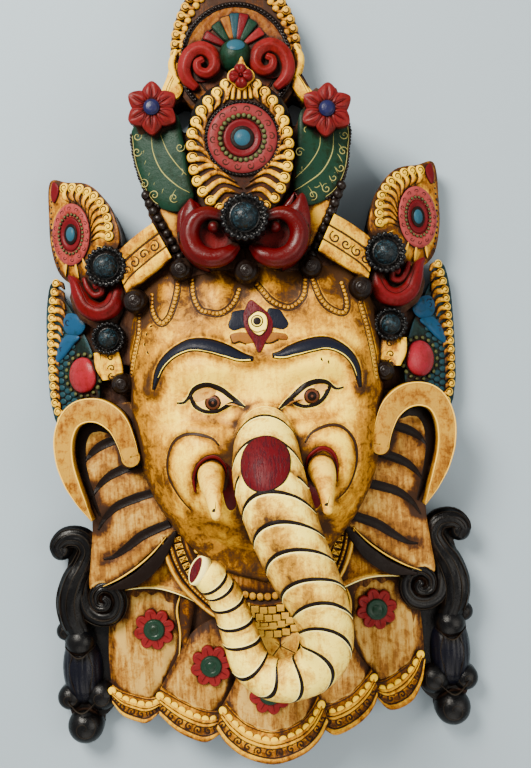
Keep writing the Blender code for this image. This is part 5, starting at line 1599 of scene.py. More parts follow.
class MaskRobe(bpy.types.Operator):
    """Builds the five panels of the robe with their gilded hems and flowers, and the collar."""

    bl_idname = "mask.robe"
    bl_label = "Robe"

    def hem(self, upper, lower, z):
        """A hem: half-round scallops, two ridges with a dark line, a row of curls and a plain rim."""
        surface = level(z)
        length = length_of(curve(upper, 40))
        first, second = curve(upper, 60), curve(lower, 60)
        between = lambda share: first + share * (second - first)
        profile = (
            (-0.06, 0.2), (0.0, 0.2), (0.20, 0.3), (0.25, 2.4), (0.32, 2.7), (0.35, 1.2), (0.38, 2.9),
            (0.44, 2.9), (0.47, 1.4), (0.74, 1.0), (0.78, 3.0), (0.92, 2.2), (1.0, -3.5),
        )
        made = Painted()
        made.add("hem", strip(first, second, profile, surface, drop=16, wash=0.12))
        scallops = curve(between(0.235), int(length / SCALLOP_SPACING) + 1)
        half = mound(
            round_line((0, 0), 4.2, 20, stretch=0.92), stepped((0, 1.5), (0.7, 1.4), (0.9, 0.9), (1, 0)),
            drop=1.5, rings=6,
        )
        made.add("hem_light", copies(half, scallops, headings(scallops)).moved(z=z + 0.6))
        for share, width in ((-0.01, 1.0), (0.35, 1.4), (0.47, 1.2), (0.76, 1.6)):
            made.add(
                "brown_line",
                stroke(between(share), width, 0.35, 1.5, smooth=False).moved(
                    z=z + np.interp(share, *zip(*profile))
                ),
            )
        curls = curve(between(0.61), int(length / HEM_CURL_SPACING) + 1)
        heading = directions(curls)
        for number, (spot, way) in enumerate(zip(curls[:-1] + 0.5 * np.diff(curls, axis=0), heading)):
            start = math.atan2(way[1], way[0]) + (0.8 if number % 2 else 3.9)
            made.append(
                ink_curl(spot, 4.1, level(z + 1.4), 1.3, start, 1 if number % 2 else -1, 1.35, rise=0.5)
            )
        return made

    def execute(self, context):
        yoke = patch(
            [
                (0, -140), (-92, -150), (-150, -214), (-120, -300), (0, -330), (120, -300), (150, -214),
                (92, -150),
            ],
            80, level(26.5), drop=6, rings=10, under=2, wash=0.8,
        )
        throat = patch(
            [
                (-66, -176), (-30, -182), (10, -184), (50, -180), (64, -182), (50, -206), (30, -222),
                (0, -228), (-30, -220), (-52, -204),
            ],
            80, lambda x, y, t: 52 + 4 * (1 - t**2), drop=20, rings=16, under=2, wash=0.22,
        )
        make_piece("robe_ground", [("robe", yoke), ("robe_dark", throat)])

        for key, (upper, lower, z) in HEMS.items():
            kind, _, side_name = key.partition("_")
            side = int(side_name or 1)
            if kind == "front":
                outline = whole_outline(FRONT_PANEL, 60, 3)
                centre = np.array([3, -325])
            else:
                points, centre = PANELS[kind]
                outline = curve(other_side(points, side), 120, closed=True)
                centre = other_side(centre, side)

            def panel_top(x, y, t):
                return z - 9 * t**4 + 0.6 * np.sin(x * 0.42 + 0.3 * np.sin(y * 0.07))

            # Painted shade towards each panel's edge, and darker towards its top.
            def panel_glaze_and_shade(x, y, t):
                return 0.55 * fade(t, 0.70, 0.98) + 0.20 * fade(y - centre[1], 10, 45)

            pieces = Painted()
            pieces.add(
                "robe", mound(outline, panel_top, centre, drop=14, rings=36, under=3, wash=panel_glaze_and_shade)
            )
            pieces += self.hem(upper, lower, z)
            pieces += robe_flower(ROBE_FLOWERS[key], z - 0.5)
            make_piece(
                f"robe_{kind}{'' if kind == 'front' else '_left' if side < 0 else '_right'}", pieces
            )

        strips = Painted()
        for side in (-1, 1):
            ridge = other_side([(80, -224), (84, -240), (82, -262), (84, -284)], side)
            strips.add("flap", stroke(ridge, (1.5, 3.0, 3.0, 1.2), 2.5, 8).moved(z=31))
            strips.add(
                "hem",
                strip(
                    other_side([(66, -232), (70, -250), (76, -276)], side),
                    other_side([(80, -226), (82, -250), (80, -280)], side), ((0, 0), (0.5, 1.0), (1, 0)),
                    level(33), drop=8, wash=0.6,
                ),
            )
        make_piece("robe_folds", strips)

        collar_top = lambda x, y, t=None: 62 - 0.1 * np.abs(x)
        profile = (
            (0, -3), (0.03, 2.0), (0.12, 2.6), (0.18, 2.0), (0.21, 0.0), (0.25, 0.0), (0.28, 1.9),
            (0.34, 1.9), (0.37, -1.4), (0.74, -1.4), (0.77, 1.7), (0.84, 1.7), (0.88, -0.5), (1.0, -1.5),
        )
        first, second = curve(COLLAR_OUTER, 120), curve(COLLAR_INNER, 120)
        between = lambda share: first + share * (second - first)
        collar = Painted()
        collar.add("collar", strip(first, second, profile, collar_top, drop=22, steps=120, wash=0.45))
        collar.add("flap", stroke(between(0.10), 2.6, 1.0, 1.5, smooth=False).moved(z=2.2).on(collar_top))
        block = mound(
            np.array([(-2.7, -4), (2.7, -4), (2.7, 4), (-2.7, 4)]).repeat(4, axis=0) * 0.98
            + 0.04 * np.tile([(0, 0), (1, 0), (1, 1), (0, 1)], (4, 1)),
            stepped((0, 0.6), (0.45, 0.7), (0.6, 1.6), (0.85, 1.6), (1, 0.6)), drop=1.5, rings=8,
        )
        places = curve(between(0.555), 38)
        collar.add("collar_light", copies(block, places, headings(places)).moved(z=-0.8).on(collar_top))
        beads = curve(between(1.06), 30)
        collar.add("flap", copies(ball(3.7, 6, 12, 0.8), beads).moved(z=-0.5).on(collar_top))
        small = curve(between(0.31), 76)
        collar.add("ink", stroke(between(0.235), 1.5, 0.3, 1, smooth=False).moved(z=0.1).on(collar_top))
        collar.add("collar_light", copies(ball(0.9, 4, 7), small).moved(z=2.0).on(collar_top))
        for row, y in enumerate((-237, -244.5, -252, -259.5)):
            places = np.array(
                [(x + (row % 2) * 4, y + 0.012 * (x - 4) ** 2) for x in range(-24, 34, 8)], float
            )
            brick = mound(
                np.array(
                    [
                        (-3.6, -3.2), (0, -3.3), (3.6, -3.2), (3.7, 0), (3.6, 3.2), (0, 3.3), (-3.6, 3.2),
                        (-3.7, 0),
                    ]
                ),
                flat(3.2, 0.9), drop=3, rings=5,
            )
            collar.add("collar_light", copies(brick, places).moved(z=61))
        house = np.array([(-4, -257), (14, -262), (33, -257), (28, -279), (16, -288), (5, -282)], float)
        peak = patch(house, 36, flat(66, 5, 1), (14, -270), drop=10, rings=8, under=2)
        collar.add("flap", peak)
        for corner in house:
            collar.add(
                "brown_line",
                stroke([corner, (14, -270)], (0.5, 1.0, 0.4), 0.4, 1.5, steps=12).on(
                    lambda x, y: 66 - 5 * np.clip(np.hypot((x - 14) / 19, (y + 270) / 14), 0, 1)
                ),
            )
        make_piece("collar", collar)
        return {"FINISHED"}


# The locks of hair


LOCK_STRAND = [
    (193, -181), (196, -172), (187, -164), (173, -166), (167, -178), (173, -193), (181, -207), (186, -225),
    (185, -243), (180, -257),
]
LOCK_CURL = [
    (169, -192), (172, -206), (173, -221), (169, -235), (157, -242), (144, -239), (138, -227), (142, -215),
    (153, -211), (161, -218), (160, -228), (152, -230), (148, -225), (151, -221),
]
# Lumps at the ends of a lock: x, y, radius, height, and whether a pale swirl, a painted highlight, is drawn
# on it.
LOCK_LUMPS = (
    (194, -176, 10.5, 36, True),
    (195, -257, 9.5, 27, True),
    (194, -322, 12.5, 29, True),
    (163, -321, 15, 33, True),
    (180, -350, 17.5, 35, True),
    (180, -266, 14.5, 40, False),
)


def lock_strand(path, radii, base_z, lifts, ridges=5):
    """A strand of hair: a rod with grooves along it, and pale painted highlight lines beside the grooves.
    """
    line = np.c_[
        path, np.interp(np.linspace(0, 1, len(path)), np.linspace(0, 1, len(lifts)), lifts) + base_z
    ]
    tube = Tube(line, radii, 120)
    where = np.linspace(-1.05, 1.05, ridges)

    def grooved(share, angle):
        turned = around(angle)
        return sum(-1.5 * bell(turned - at - 0.12 * np.sin(share * 18), 0.17) for at in where)

    made = Painted()
    made.add("hair", tube.skin(sides=36, lift=grooved))
    # Painted highlight lines beside the grooves.
    for number, at in enumerate(where):
        share = np.linspace(0.06, 0.94, 60)
        radius = np.interp(share, tube.share, tube.radius)
        path = np.c_[(at + 0.20) * radius, share * tube.length]
        taper = (0.1, 0.7, 0.5, 0.8, 0.1) if number % 2 else (0.1, 0.4, 0.9, 0.3, 0.1)
        made.add("hair_highlight", tube.wrap(stroke(path, taper, 0.25, 0.8, smooth=False)))
    return made


class MaskLocks(bpy.types.Operator):
    """Builds the two hanging locks of black hair, with volutes, lumps and pale painted highlight lines."""

    bl_idname = "mask.locks"
    bl_label = "Locks of hair"

    def execute(self, context):
        for name, side in SIDES:
            pieces = Painted(
                lock_strand(
                    other_side(LOCK_STRAND, side), (6.5, 9, 10.5, 11, 11.5, 12.5, 14.5, 15.5, 14.5, 12), 22,
                    (8, 6, 4, 5, 3),
                )
            )
            pieces += lock_strand(
                other_side(LOCK_CURL, side),
                (6, 8.0, 9, 9.2, 9.0, 8.6, 8.0, 7.2, 6.4, 5.4, 4.6, 4.0, 3.4, 3.0), 26,
                (0, 4, 10, 14, 18, 22), ridges=3,
            )
            for x, y, radius, top, swirled in LOCK_LUMPS:
                x *= side
                pieces.add(
                    "hair",
                    mound(
                        round_line((x, y), radius, 40), dome(0.9 * radius, top - 0.9 * radius), drop=8,
                        rings=12, under=2,
                    ),
                )
                # A pale swirl on the lump: a painted highlight.
                if swirled:
                    swirl = spiral_line((x, y), radius * 0.70, 1.3, 2.2 if side > 0 else 0.9, side)
                    shape = stroke(swirl, (0.3, 0.9, 0.7, 0.3), 0.3, 1.0, steps=30)
                    pieces.add(
                        "hair_highlight",
                        shape.on(
                            lambda px, py: dome(0.9 * radius, top - 0.9 * radius)(
                                px, py, np.hypot(px - x, py - y) / radius
                            )
                        ),
                    )
            body = mound(
                round_line((side * 180, -295), 21, 60, stretch=1.75),
                lambda x, y, t: 12 + 23 * np.sqrt(np.clip(1 - t**2.2, 0, 1)) - 0.8 * np.cos(x * 0.55) ** 8,
                drop=6, rings=24, under=2,
            )
            pieces.add("hair_blue", body)
            # Painted highlight lines down the lock's body.
            for distance in (-9, 9):
                line = [
                    (side * 180 + distance * 0.5, -270),
                    (side * 180 + distance * 1.25, -292),
                    (side * 180 + distance * 0.7, -318),
                ]
                pieces.add(
                    "hair_highlight",
                    stroke(line, (0.2, 0.8, 0.2), 0.3, 1.2).on(
                        lambda x, y: 12 + 23 * np.sqrt(
                            np.clip(
                                1 - (((x - side * 180) / 21) ** 2 + ((y + 295) / 36.7) ** 2) ** 1.1, 0, 1
                            )
                        )
                    ),
                )
            # Painted highlight lines across the lock's body.
            for y, reach in ((-275, 15), (-328, 15)):
                path = [(side * 180 - reach, y + 5), (side * 180, y - 5), (side * 180 + reach, y + 5)]
                pieces.add(
                    "hair_highlight",
                    stroke(path, (0.2, 1.1, 0.2), 0.4, 3).on(
                        lambda x, y: 38.5 - 0.04 * (x - side * 180) ** 2
                    ),
                )
            backing = [
                (180, -168), (192, -200), (196, -250), (196, -300), (185, -345), (150, -330), (140, -260),
                (148, -215), (164, -185),
            ]
            outline = curve(other_side(backing, side), 80, closed=True)
            pieces.add(
                "hair", mound(outline, level(19), other_side([180, -256], side), drop=14, rings=8, under=2)
            )
            make_piece(f"lock_{name}", pieces)
        return {"FINISHED"}


# The crown


CROWN_BOARD = [(0, 232), (50, 206), (78, 150), (64, 98), (56, 80), (0, 72)]
LEAF_LINES = {
    -1: [
        (-57, 225), (-51, 200), (-48, 180), (-45, 160), (-44, 147), (-52, 138), (-61, 136), (-74, 140),
        (-83, 147), (-91, 162), (-96, 179), (-99, 198), (-98, 214), (-84, 228),
    ],
    1: [
        (58, 222), (53, 198), (50, 180), (47, 161), (48, 144), (56, 136), (70, 138), (82, 145), (91, 155),
        (97, 169), (100, 188), (102, 203), (98, 218), (82, 226),
    ],
}
LEAF_VEINS = {
    -1: [
        [(-80, 208), (-79, 191), (-72, 173), (-59, 159), (-47, 151)],
        [(-72, 208), (-66, 191), (-58, 178), (-49, 167)],
    ],
    1: [
        [(86, 201), (84, 183), (74, 166), (59, 155), (47, 148)],
        [(74, 202), (72, 187), (62, 172), (49, 160)],
    ],
}
LEAF_CURLS = {
    -1: [
        (-94, 193), (-93, 207), (-89, 163), (-80, 152), (-71, 163), (-62, 148), (-54, 193), (-65, 204),
        (-84, 178), (-55, 170),
    ],
    1: [
        (94, 184), (84, 160), (91, 169), (68, 155), (64, 144), (62, 203), (54, 183), (77, 150), (96, 199),
        (57, 168),
    ],
}
CROWN_HORNS = {
    -1: [
        (-46, 144), (-53, 134), (-56, 122), (-54, 109), (-46, 107), (-40, 121), (-35, 130), (-24, 131),
        (-25, 136), (-38, 135),
    ],
    1: [
        (54, 144), (59, 131), (60, 117), (57, 103), (49, 104), (44, 118), (40, 126), (30, 128), (31, 133),
        (43, 134),
    ],
}
CROWN_SCROLLS = {
    -1: [
        (-18.5, 125.9), (-30.8, 129.2), (-41.7, 125.3), (-47.5, 115.9), (-47.6, 105.2), (-41.5, 94.2),
        (-29.3, 88.7), (-16.7, 91.2), (-7.5, 98.7),
    ],
    1: [
        (21.4, 123.9), (33.9, 126), (44.3, 121), (49.2, 111), (48.2, 100.3), (41, 90), (28.3, 85.8),
        (16.1, 89.5), (7.6, 97.9),
    ],
}
CROWN_PANELS = {
    -1: [(-76, 141), (-57, 138), (-51, 120), (-54, 97), (-64, 112)],
    1: [(81, 143), (58, 138), (51, 118), (54, 92), (66, 110)],
}
CROWN_EDGES = {
    -1: [(-88, 153), (-84, 143), (-78, 131), (-71, 118), (-65, 106), (-60, 95)],
    1: [(91, 153), (86, 142), (80, 128), (73, 114), (67, 102), (61, 91)],
}
SCROLL_LEAVES = {
    -1: [(-46.5, 144), (-53.5, 131), (-55.5, 116), (-53, 100), (-44, 87), (-33, 79.5)],
    1: [(47.5, 145), (53, 132.5), (55.5, 115), (53, 98), (43.5, 84.5), (33, 77.5)],
}
SCROLL_TIPS = {
    -1: [(-46, 144), (-41, 137), (-36, 132), (-26, 131)],
    1: [(47, 145), (43, 137), (37, 131), (28, 129)],
}
SCROLL_BALLS = {-1: (-26.5, 117), 1: (28, 114.5)}
# Each flower's middle and the tip of its first petal.
FLOWERS = {-1: ((-77, 228), (-76, 249)), 1: ((80, 219), (82, 240))}
MEDALLION_LINE = [
    (0, 256), (17, 243), (29, 231), (40, 211), (46, 190), (44, 165), (37, 146), (24, 130), (0, 122)
]
MEDALLION_AT = (3, 194)
MEDALLION_Z = 110.0
CURL_HEADS = {
    -1: [
        (-9.5, 243), (-18.5, 235), (-28, 226.5), (-34.5, 216.5), (-40.5, 204), (-42.5, 191), (-42, 177.5),
        (-40.5, 164), (-36, 151.5), (-29, 141), (-20, 133),
    ],
    1: [
        (17.5, 241.5), (28, 231), (36, 218), (41.5, 205), (43.5, 192), (43.5, 178.5), (41, 165),
        (36, 151.5), (29.5, 140.5), (21, 133),
    ],
}
BAND_UPPER = [(83, 127), (98, 119), (114, 108), (123, 98)]
BAND_LOWER = [(66, 93), (84, 82), (102, 70), (110, 62)]
# Dark beads: x, y, z and radius.
BEAD_SPOTS = [
    (-59, 83, 92, 10.8),
    (0.4, 77, 103, 11.5),
    (59, 79.5, 92, 10.8),
    (-103, 57, 82, 11.5),
    (104, 59, 82, 11.5),
    (-122, -18, 62, 10.5),
    (124, -18, 62, 10.5),
]


def pointed_flower(centre, z, first, petals=6, reach=24.0):
    """A flower of pointed petals, each creased along its middle, round a blue button."""
    turn = math.atan2(first[1] - centre[1], first[0] - centre[0])
    angle = turn + np.linspace(0, FULL_TURN, petals, endpoint=False)
    outline = np.array(
        [(2, 0), (5, -4.0), (11, -8.6), (17.5, -8.0), (reach, 0), (17.5, 8.0), (11, 8.6), (5, 4.0)], float
    )
    outline = curve(outline, 40, closed=True)
    petal = mound(
        outline,
        lambda x, y, t: 1.6 + 4.0 * (1 - t**3.0) - 1.7 * bell(y, 1.5) * (1 - t**4) + 1.6 * (x / reach) ** 2,
        (9, 0), drop=6, rings=14,
    )
    def lift(x, y):
        across = np.clip(np.hypot((x - 10) / 13, y / 9.2), 0, 1)
        return 1.8 + 4.0 * (1 - across**3.0) - 1.4 * bell(y, 1.5) + 1.6 * (x / reach) ** 2

    made = Painted()
    made.add("coral", copies(petal, np.zeros((petals, 2)), angle))
    for path in (
        [(5, 0), (13, 0.4), (21, 0)], [(8, 1.5), (12, 4.6), (16, 6)], [(8, -1.5), (12, -4.6), (16, -6)]
    ):
        vein = stroke(path, (0.5, 1.3, 0.4), 0.35, 1.5)
        made.add("crimson_plain", copies(vein.on(lift), np.zeros((petals, 2)), angle))
    made.add("coral", mound(round_line((0, 0), 9, 30), flat(4.5), drop=5, rings=4))
    made.add(
        "royal",
        mound(
            round_line((0, 0), 7.4, 32),
            stepped((0, 9.2), (0.6, 8.6), (0.8, 7.6), (0.88, 6.4), (0.93, 6.8), (1, 5)), drop=4, rings=14,
        ),
    )
    return [(name, shape.moved(*centre, z)) for name, shape in made]


class MaskCrown(bpy.types.Operator):
    """Builds the crown's board, leaves, flowers, red scrolls, bosses, bands and dark beads."""

    bl_idname = "mask.crown"
    bl_label = "Crown"

    def execute(self, context):
        board = Painted()
        board.add(
            "board",
            mound(
                whole_outline(CROWN_BOARD, 50), level(83.6), (0, 150), drop=24, rings=24, under=3, wash=0.55
            ),
        )
        for side in (-1, 1):
            made = patch(CROWN_PANELS[side], 40, flat(85.6, 0.8), drop=20, rings=6, under=2, wash=0.25)
            board.add("gold", made)
            line = CROWN_EDGES[side]
            board.add("bead", stroke(line, 7.5, 1.5, 22, section=SECTION_FLAT).moved(z=84))
            board.add("bead", copies(button((0, 0), 4.6, 4.2, 18, 6), curve(line, 9)).moved(z=85))
        make_piece("crown_board", board)

        for name, side in SIDES:
            lean = leaning((45, 100), 97, 85)
            edge = curve(LEAF_LINES[side], 200, closed=True)
            centre = edge.mean(0)
            out = fade(np.abs(edge[:, 0]), 70, 84) * fade(-edge[:, 1], -214, -206)
            notch = 1 - 0.012 * out * (1 + np.cos(np.arange(200) * FULL_TURN / 4.5))
            edge = centre + (edge - centre) * notch[:, None]
            pieces = Painted()
            pieces.add(
                "green",
                mound(
                    edge, lambda x, y, t: lean(x, y) - 2.6 * t**10 - 0.8 * t**2, centre, drop=24, rings=22,
                    under=3,
                ),
            )
            for vein, width in zip(LEAF_VEINS[side], (1.5, 1.2)):
                pieces.add(
                    "leaf_line", stroke(vein, (0.4, width, width, 0.4), 0.5, 1.5).on(raised(lean, -0.5))
                )
            for start in np.linspace(0.12, 0.85, 6):
                root = curve(LEAF_VEINS[side][0], 60)[int(start * 59)]
                tip = root + np.array([side * 9.0, -9.0 - 3 * start])
                pieces.add(
                    "leaf_line",
                    stroke(
                        [root + [side * 3.5, -1], (root + tip) / 2 + [side * 1.6, 1.2], tip],
                        (0.2, 1.0, 0.2), 0.4, 1.5,
                    ).on(raised(lean, -0.7)),
                )
            for number, spot in enumerate(LEAF_CURLS[side]):
                pieces.append(
                    ink_curl(spot, 4.6, raised(lean, -0.7), 1.35, number * 1.1, side, 1.0, "leaf_line")
                )
            rim = edge[(out > 0.4)]
            rim = rim[np.argsort(-rim[:, 1])]
            pieces.add(
                "bead", copies(button((0, 0), 1.7, 1.2, 10, 3), curve(rim[::3], 26)).on(raised(lean, -3.2))
            )
            pieces.add(
                "leaf_line",
                stroke(centre + (rim[::4] - centre) * 0.955, 0.8, 0.4, 1.5).on(raised(lean, -2.0)),
            )
            make_piece(f"leaf_{name}", pieces)
            make_piece(f"flower_{name}", pointed_flower(FLOWERS[side][0], 99, FLOWERS[side][1]))

            rod_line = np.c_[CROWN_SCROLLS[side], (112, 112, 112, 111, 111, 112, 113, 113, 110)]
            scroll_rod = Tube(rod_line, (4.5, 6.0, 7.6, 8.6, 9.0, 9.2, 9.0, 7.8, 4.5), 90)
            crease = lambda share, angle: -1.1 * bell(around(angle, side * 0.75), 0.20)
            pieces = Painted()
            pieces.add("red", scroll_rod.skin(sides=28, lift=crease, ends=(0.7, 0.7)))
            pieces.add("red", stroke(SCROLL_LEAVES[side], (1.0, 11, 10, 9, 7, 1.5), 7, 20).moved(z=99))
            pieces.add("red", stroke(SCROLL_TIPS[side], (1.0, 8, 8, 5), 6, 18).moved(z=101))
            pieces.add("red", patch(CROWN_HORNS[side], 50, flat(111, 4, 3), drop=22, rings=10, under=2))
            ball_at = SCROLL_BALLS[side]
            pieces.add("red", copies(ball(5.4, 8, 18), [(*ball_at, 110.5)]))
            pieces.add(
                "red",
                stroke(
                    [ball_at, (ball_at[0] + side * 3, ball_at[1] + 6), (side * 24, 125)], (4, 7, 8), 4, 14
                ).moved(z=106),
            )
            pieces.add(
                "floor_red",
                mound(
                    round_line((side * 26 + 0.5, 106), 20, 48), lambda x, y, t: 104 - 2 * (1 - t**2),
                    drop=18, rings=8, under=2,
                ),
            )
            make_piece(f"scroll_{name}", pieces)

            band_top = leaning((68, 122), 97, 70)
            upper, lower = other_side(BAND_UPPER, side), other_side(BAND_LOWER, side)
            profile = (
                (0, -1.5), (0.03, 2.4), (0.27, 2.6), (0.30, 0.4), (0.34, 0.4), (0.36, 1.2), (0.66, 1.2),
                (0.68, 0.4), (0.71, 0.4), (0.74, 2.6), (0.97, 2.2), (1, -1.5),
            )
            first, second = curve(upper, 50), curve(lower, 50)
            pieces = Painted()
            pieces.add(
                "gold_bright", strip(first, second, profile, band_top, drop=24, wash=0.10, pooled_glaze_and_shade=0.30)
            )
            for share in (0.32, 0.695):
                pieces.add(
                    "brown_line",
                    stroke(first + share * (second - first), 2.0, 0.6, 1.5, smooth=False).on(
                        raised(band_top, 0.4)
                    ),
                )
            for along, way, radius in ((0.20, 1, 5.8), (0.42, -1, 5.0), (0.64, 1, 5.6), (0.84, -1, 4.6)):
                spot = (first + 0.51 * (second - first))[int(along * 49)]
                pieces.append(
                    ink_curl(spot, radius, raised(band_top, 1.3), 1.3, 0.8 + way, way * side, 1.5, rise=0.5)
                )
            make_piece(f"crown_band_{name}", pieces)

            small = strip(
                other_side([(147, 12), (146, -2), (140, -14)], side),
                other_side([(124, 13), (121, 0), (120, -13)], side),
                ((0, 0), (0.05, 2.4), (0.22, 2.4), (0.28, 0.6), (0.8, 0.8), (0.86, 1.6), (1, 0.6)),
                level(62), drop=18, pooled_glaze_and_shade=0.12,
            )
            pieces = Painted()
            pieces.add("gold_bright", small)
            for y, way in ((7, 1), (-3, -1), (-11, 1)):
                pieces.append(ink_curl((side * 131, y), 3.6, level(63), 1.2, y, way, 1.0))
            pieces.add(
                "brown_line",
                stroke(other_side([(141, 12), (140.5, -1), (136, -13)], side), 1.2, 0.6, 1).moved(z=62.9),
            )
            make_piece(f"small_band_{name}", pieces)

        make_piece("crown_boss", ruffled_boss((1.5, 121.5), 141.5, 21.3, "peacock"))
        groove = stroke(
            [(0, 92), (30, 90), (55, 88), (84, 76), (104, 52), (116, 24), (121, 0)],
            (18, 22, 26, 26, 22, 20, 16), 1.0, 10, section=SECTION_FLAT,
        )
        recess_top = leaning((60, 125), 84.5, 55)
        dark = Painted()
        dark.add("block", groove.on(recess_top))
        dark.add("block", groove.mirrored().on(recess_top))
        for x, y, z, radius in BEAD_SPOTS:
            dark.append(ringed_bead((x, y), z, radius))
        make_piece("dark_beads", dark)
        return {"FINISHED"}


class MaskMedallion(bpy.types.Operator):
    """Builds the medallion: gold commas round a red rosette, flutes above it and a red jewel."""

    bl_idname = "mask.medallion"
    bl_label = "Medallion"

    def execute(self, context):
        outline = whole_outline(MEDALLION_LINE, 90, 1.5)
        surface = level(MEDALLION_Z)
        made = Painted()
        made.add(
            "ochre_dark",
            mound(outline, flat(MEDALLION_Z, 3), (1.5, 190), drop=26, rings=26, under=3, wash=0.25),
        )
        for side in (-1, 1):
            for number, head in zip(np.linspace(0, 9.6, 13), curve(CURL_HEADS[side], 13)):
                out = head - MEDALLION_AT
                angle = math.atan2(out[1], out[0])
                swing = -side * np.interp(number, (0, 3, 9), (0.20, 0.50, 0.85))
                tail = np.array(MEDALLION_AT) + 35.5 * np.array(
                    [math.cos(angle + swing), math.sin(angle + swing)]
                )
                if number > 5:
                    tail = np.array(
                        [
                            side * np.interp(number, (5, 6, 7, 8), (25, 17, 7, 1.5)) + 1.5,
                            np.interp(number, (5, 6, 7, 8, 10), (167, 162, 157, 150, 136)),
                        ]
                    )
                made += comma(
                    tail, head, 5.1, surface, -side, 5.6, "gold_bright", rise=3.4,
                    sag=0.16 if number < 6 else 0.24,
                )
        for x in (-9, -4.5, 0.5, 5.5, 10, 15):
            flute = stroke(
                [(x * 1.15 + 1, 229), (x * 0.95 + 2, 238), (x * 0.45 + 3.5, 246)], (3.6, 4.4, 2.6), 2.6, 3
            )
            made.add("gold", flute.moved(z=MEDALLION_Z))
        ring = round_line(MEDALLION_AT, 33.8, 90)
        made.add("bead", mound(ring, flat(2.0, 0.8), drop=2, rings=6).moved(z=MEDALLION_Z))
        made.add(
            "bead",
            copies(ball(1.35, 4, 8), curve(round_line(MEDALLION_AT, 32.6, 90), 64, closed=True)).moved(
                z=MEDALLION_Z + 2.0
            ),
        )
        made += rosette(MEDALLION_AT, MEDALLION_Z + 1.4, 31.0, 1.0, "pink", "sky", 14, 26)
        make_piece("medallion", made)

        tip = [
            (5.8, 266), (1.5, 258), (-6, 253), (-7.5, 247), (-3, 242), (4.5, 236.5), (11.5, 241.5),
            (16.5, 246), (15.5, 252), (9.5, 257.5),
        ]
        gold_line = curve(tip, 48, closed=True)
        jewel = Painted()
        jewel.add("gold", mound(gold_line, flat(115.5, 1.5), drop=18, rings=8, under=2))
        petals = np.array([(4.5, 248.2)])
        outline = curve(
            [(0, 0), (2.8, -3.4), (6.4, -3.8), (8.2, 0), (6.4, 3.8), (2.8, 3.4)], 30, closed=True
        )
        petal = mound(outline, lambda x, y, t: 4.6 - 2.2 * t**3 - 0.9 * bell(y, 0.8), drop=2, rings=9)
        for angle in (0.05, 1.62, 3.15, 4.70):
            jewel.add("scroll_red", copies(petal, petals, angle, 1.3).moved(z=114.0))
        jewel.add("crimson_plain", button(petals[0], 1.7, 5.6, 12, 4).moved(z=115.0))
        make_piece("jewel", jewel)
        return {"FINISHED"}


# The bun and the tall plate


BUN_AT = (1, 214)
BUN_RADIUS = 49.5
BUN_BASE = 57.5
BUN_RISE = 24
PLATE_CENTRE = (0.0, 290.0)
PLATE_TOP = 37.5
PLATE_CURLS = 17
CURL_SPACING = 9.4
LOWEST_CURL = 292
PLATE_SCROLLS = {
    -1: [
        (-40, 262), (-47.5, 270), (-49.5, 281), (-44, 293), (-33, 298), (-22.5, 292), (-20.5, 281),
        (-27.5, 274), (-36, 277), (-37, 284), (-32, 287),
    ],
    1: [
        (38, 259), (46.5, 267), (49.5, 278), (45, 291), (34, 298), (22, 293), (18.5, 282), (25, 274),
        (33.5, 276.5), (35, 284), (30, 287),
    ],
}
FAN = (
    (-29, 313, "crimson_plain"),
    (-18.5, 323, "green"),
    (-9, 329, "ochre"),
    (0.5, 332, "teal"),
    (10, 331, "crimson_plain"),
    (18.5, 324, "green"),
    (26.5, 314, "coral_red"),
)
WINGS = {
    -1: [(-55, 287), (-62.5, 286), (-68, 273), (-73, 260), (-66, 252), (-56, 256), (-52, 266), (-54, 279)],
    1: [(55, 281), (60, 272), (67, 260), (75, 249), (66, 245), (56, 254), (51, 264), (53, 275)],
}


def plate_edge(count, share=1.0):
    """The plate's outline: a circle that rises to a pointed top, where its radius grows by (1 - how far
    the angle is from the top)^1.77.
    """
    angle = np.linspace(-math.pi, math.pi, count, endpoint=False)
    lift = np.clip(1 - np.abs(angle * 2 / math.pi - 1), 0, 1)
    reach = (63.0 + 33.0 * lift**1.77) * share
    return np.c_[reach * np.cos(angle), PLATE_CENTRE[1] + reach * np.sin(angle)]


def ring_edge(count, share=1.0):
    """The dark bead ring: an upright egg inside the plate."""
    angle = np.linspace(-math.pi, math.pi, count, endpoint=False)
    reach = np.where(np.sin(angle) > 0, 58.0, 50.0)
    return np.c_[53.0 * share * np.cos(angle), 283 + reach * share * np.sin(angle)]


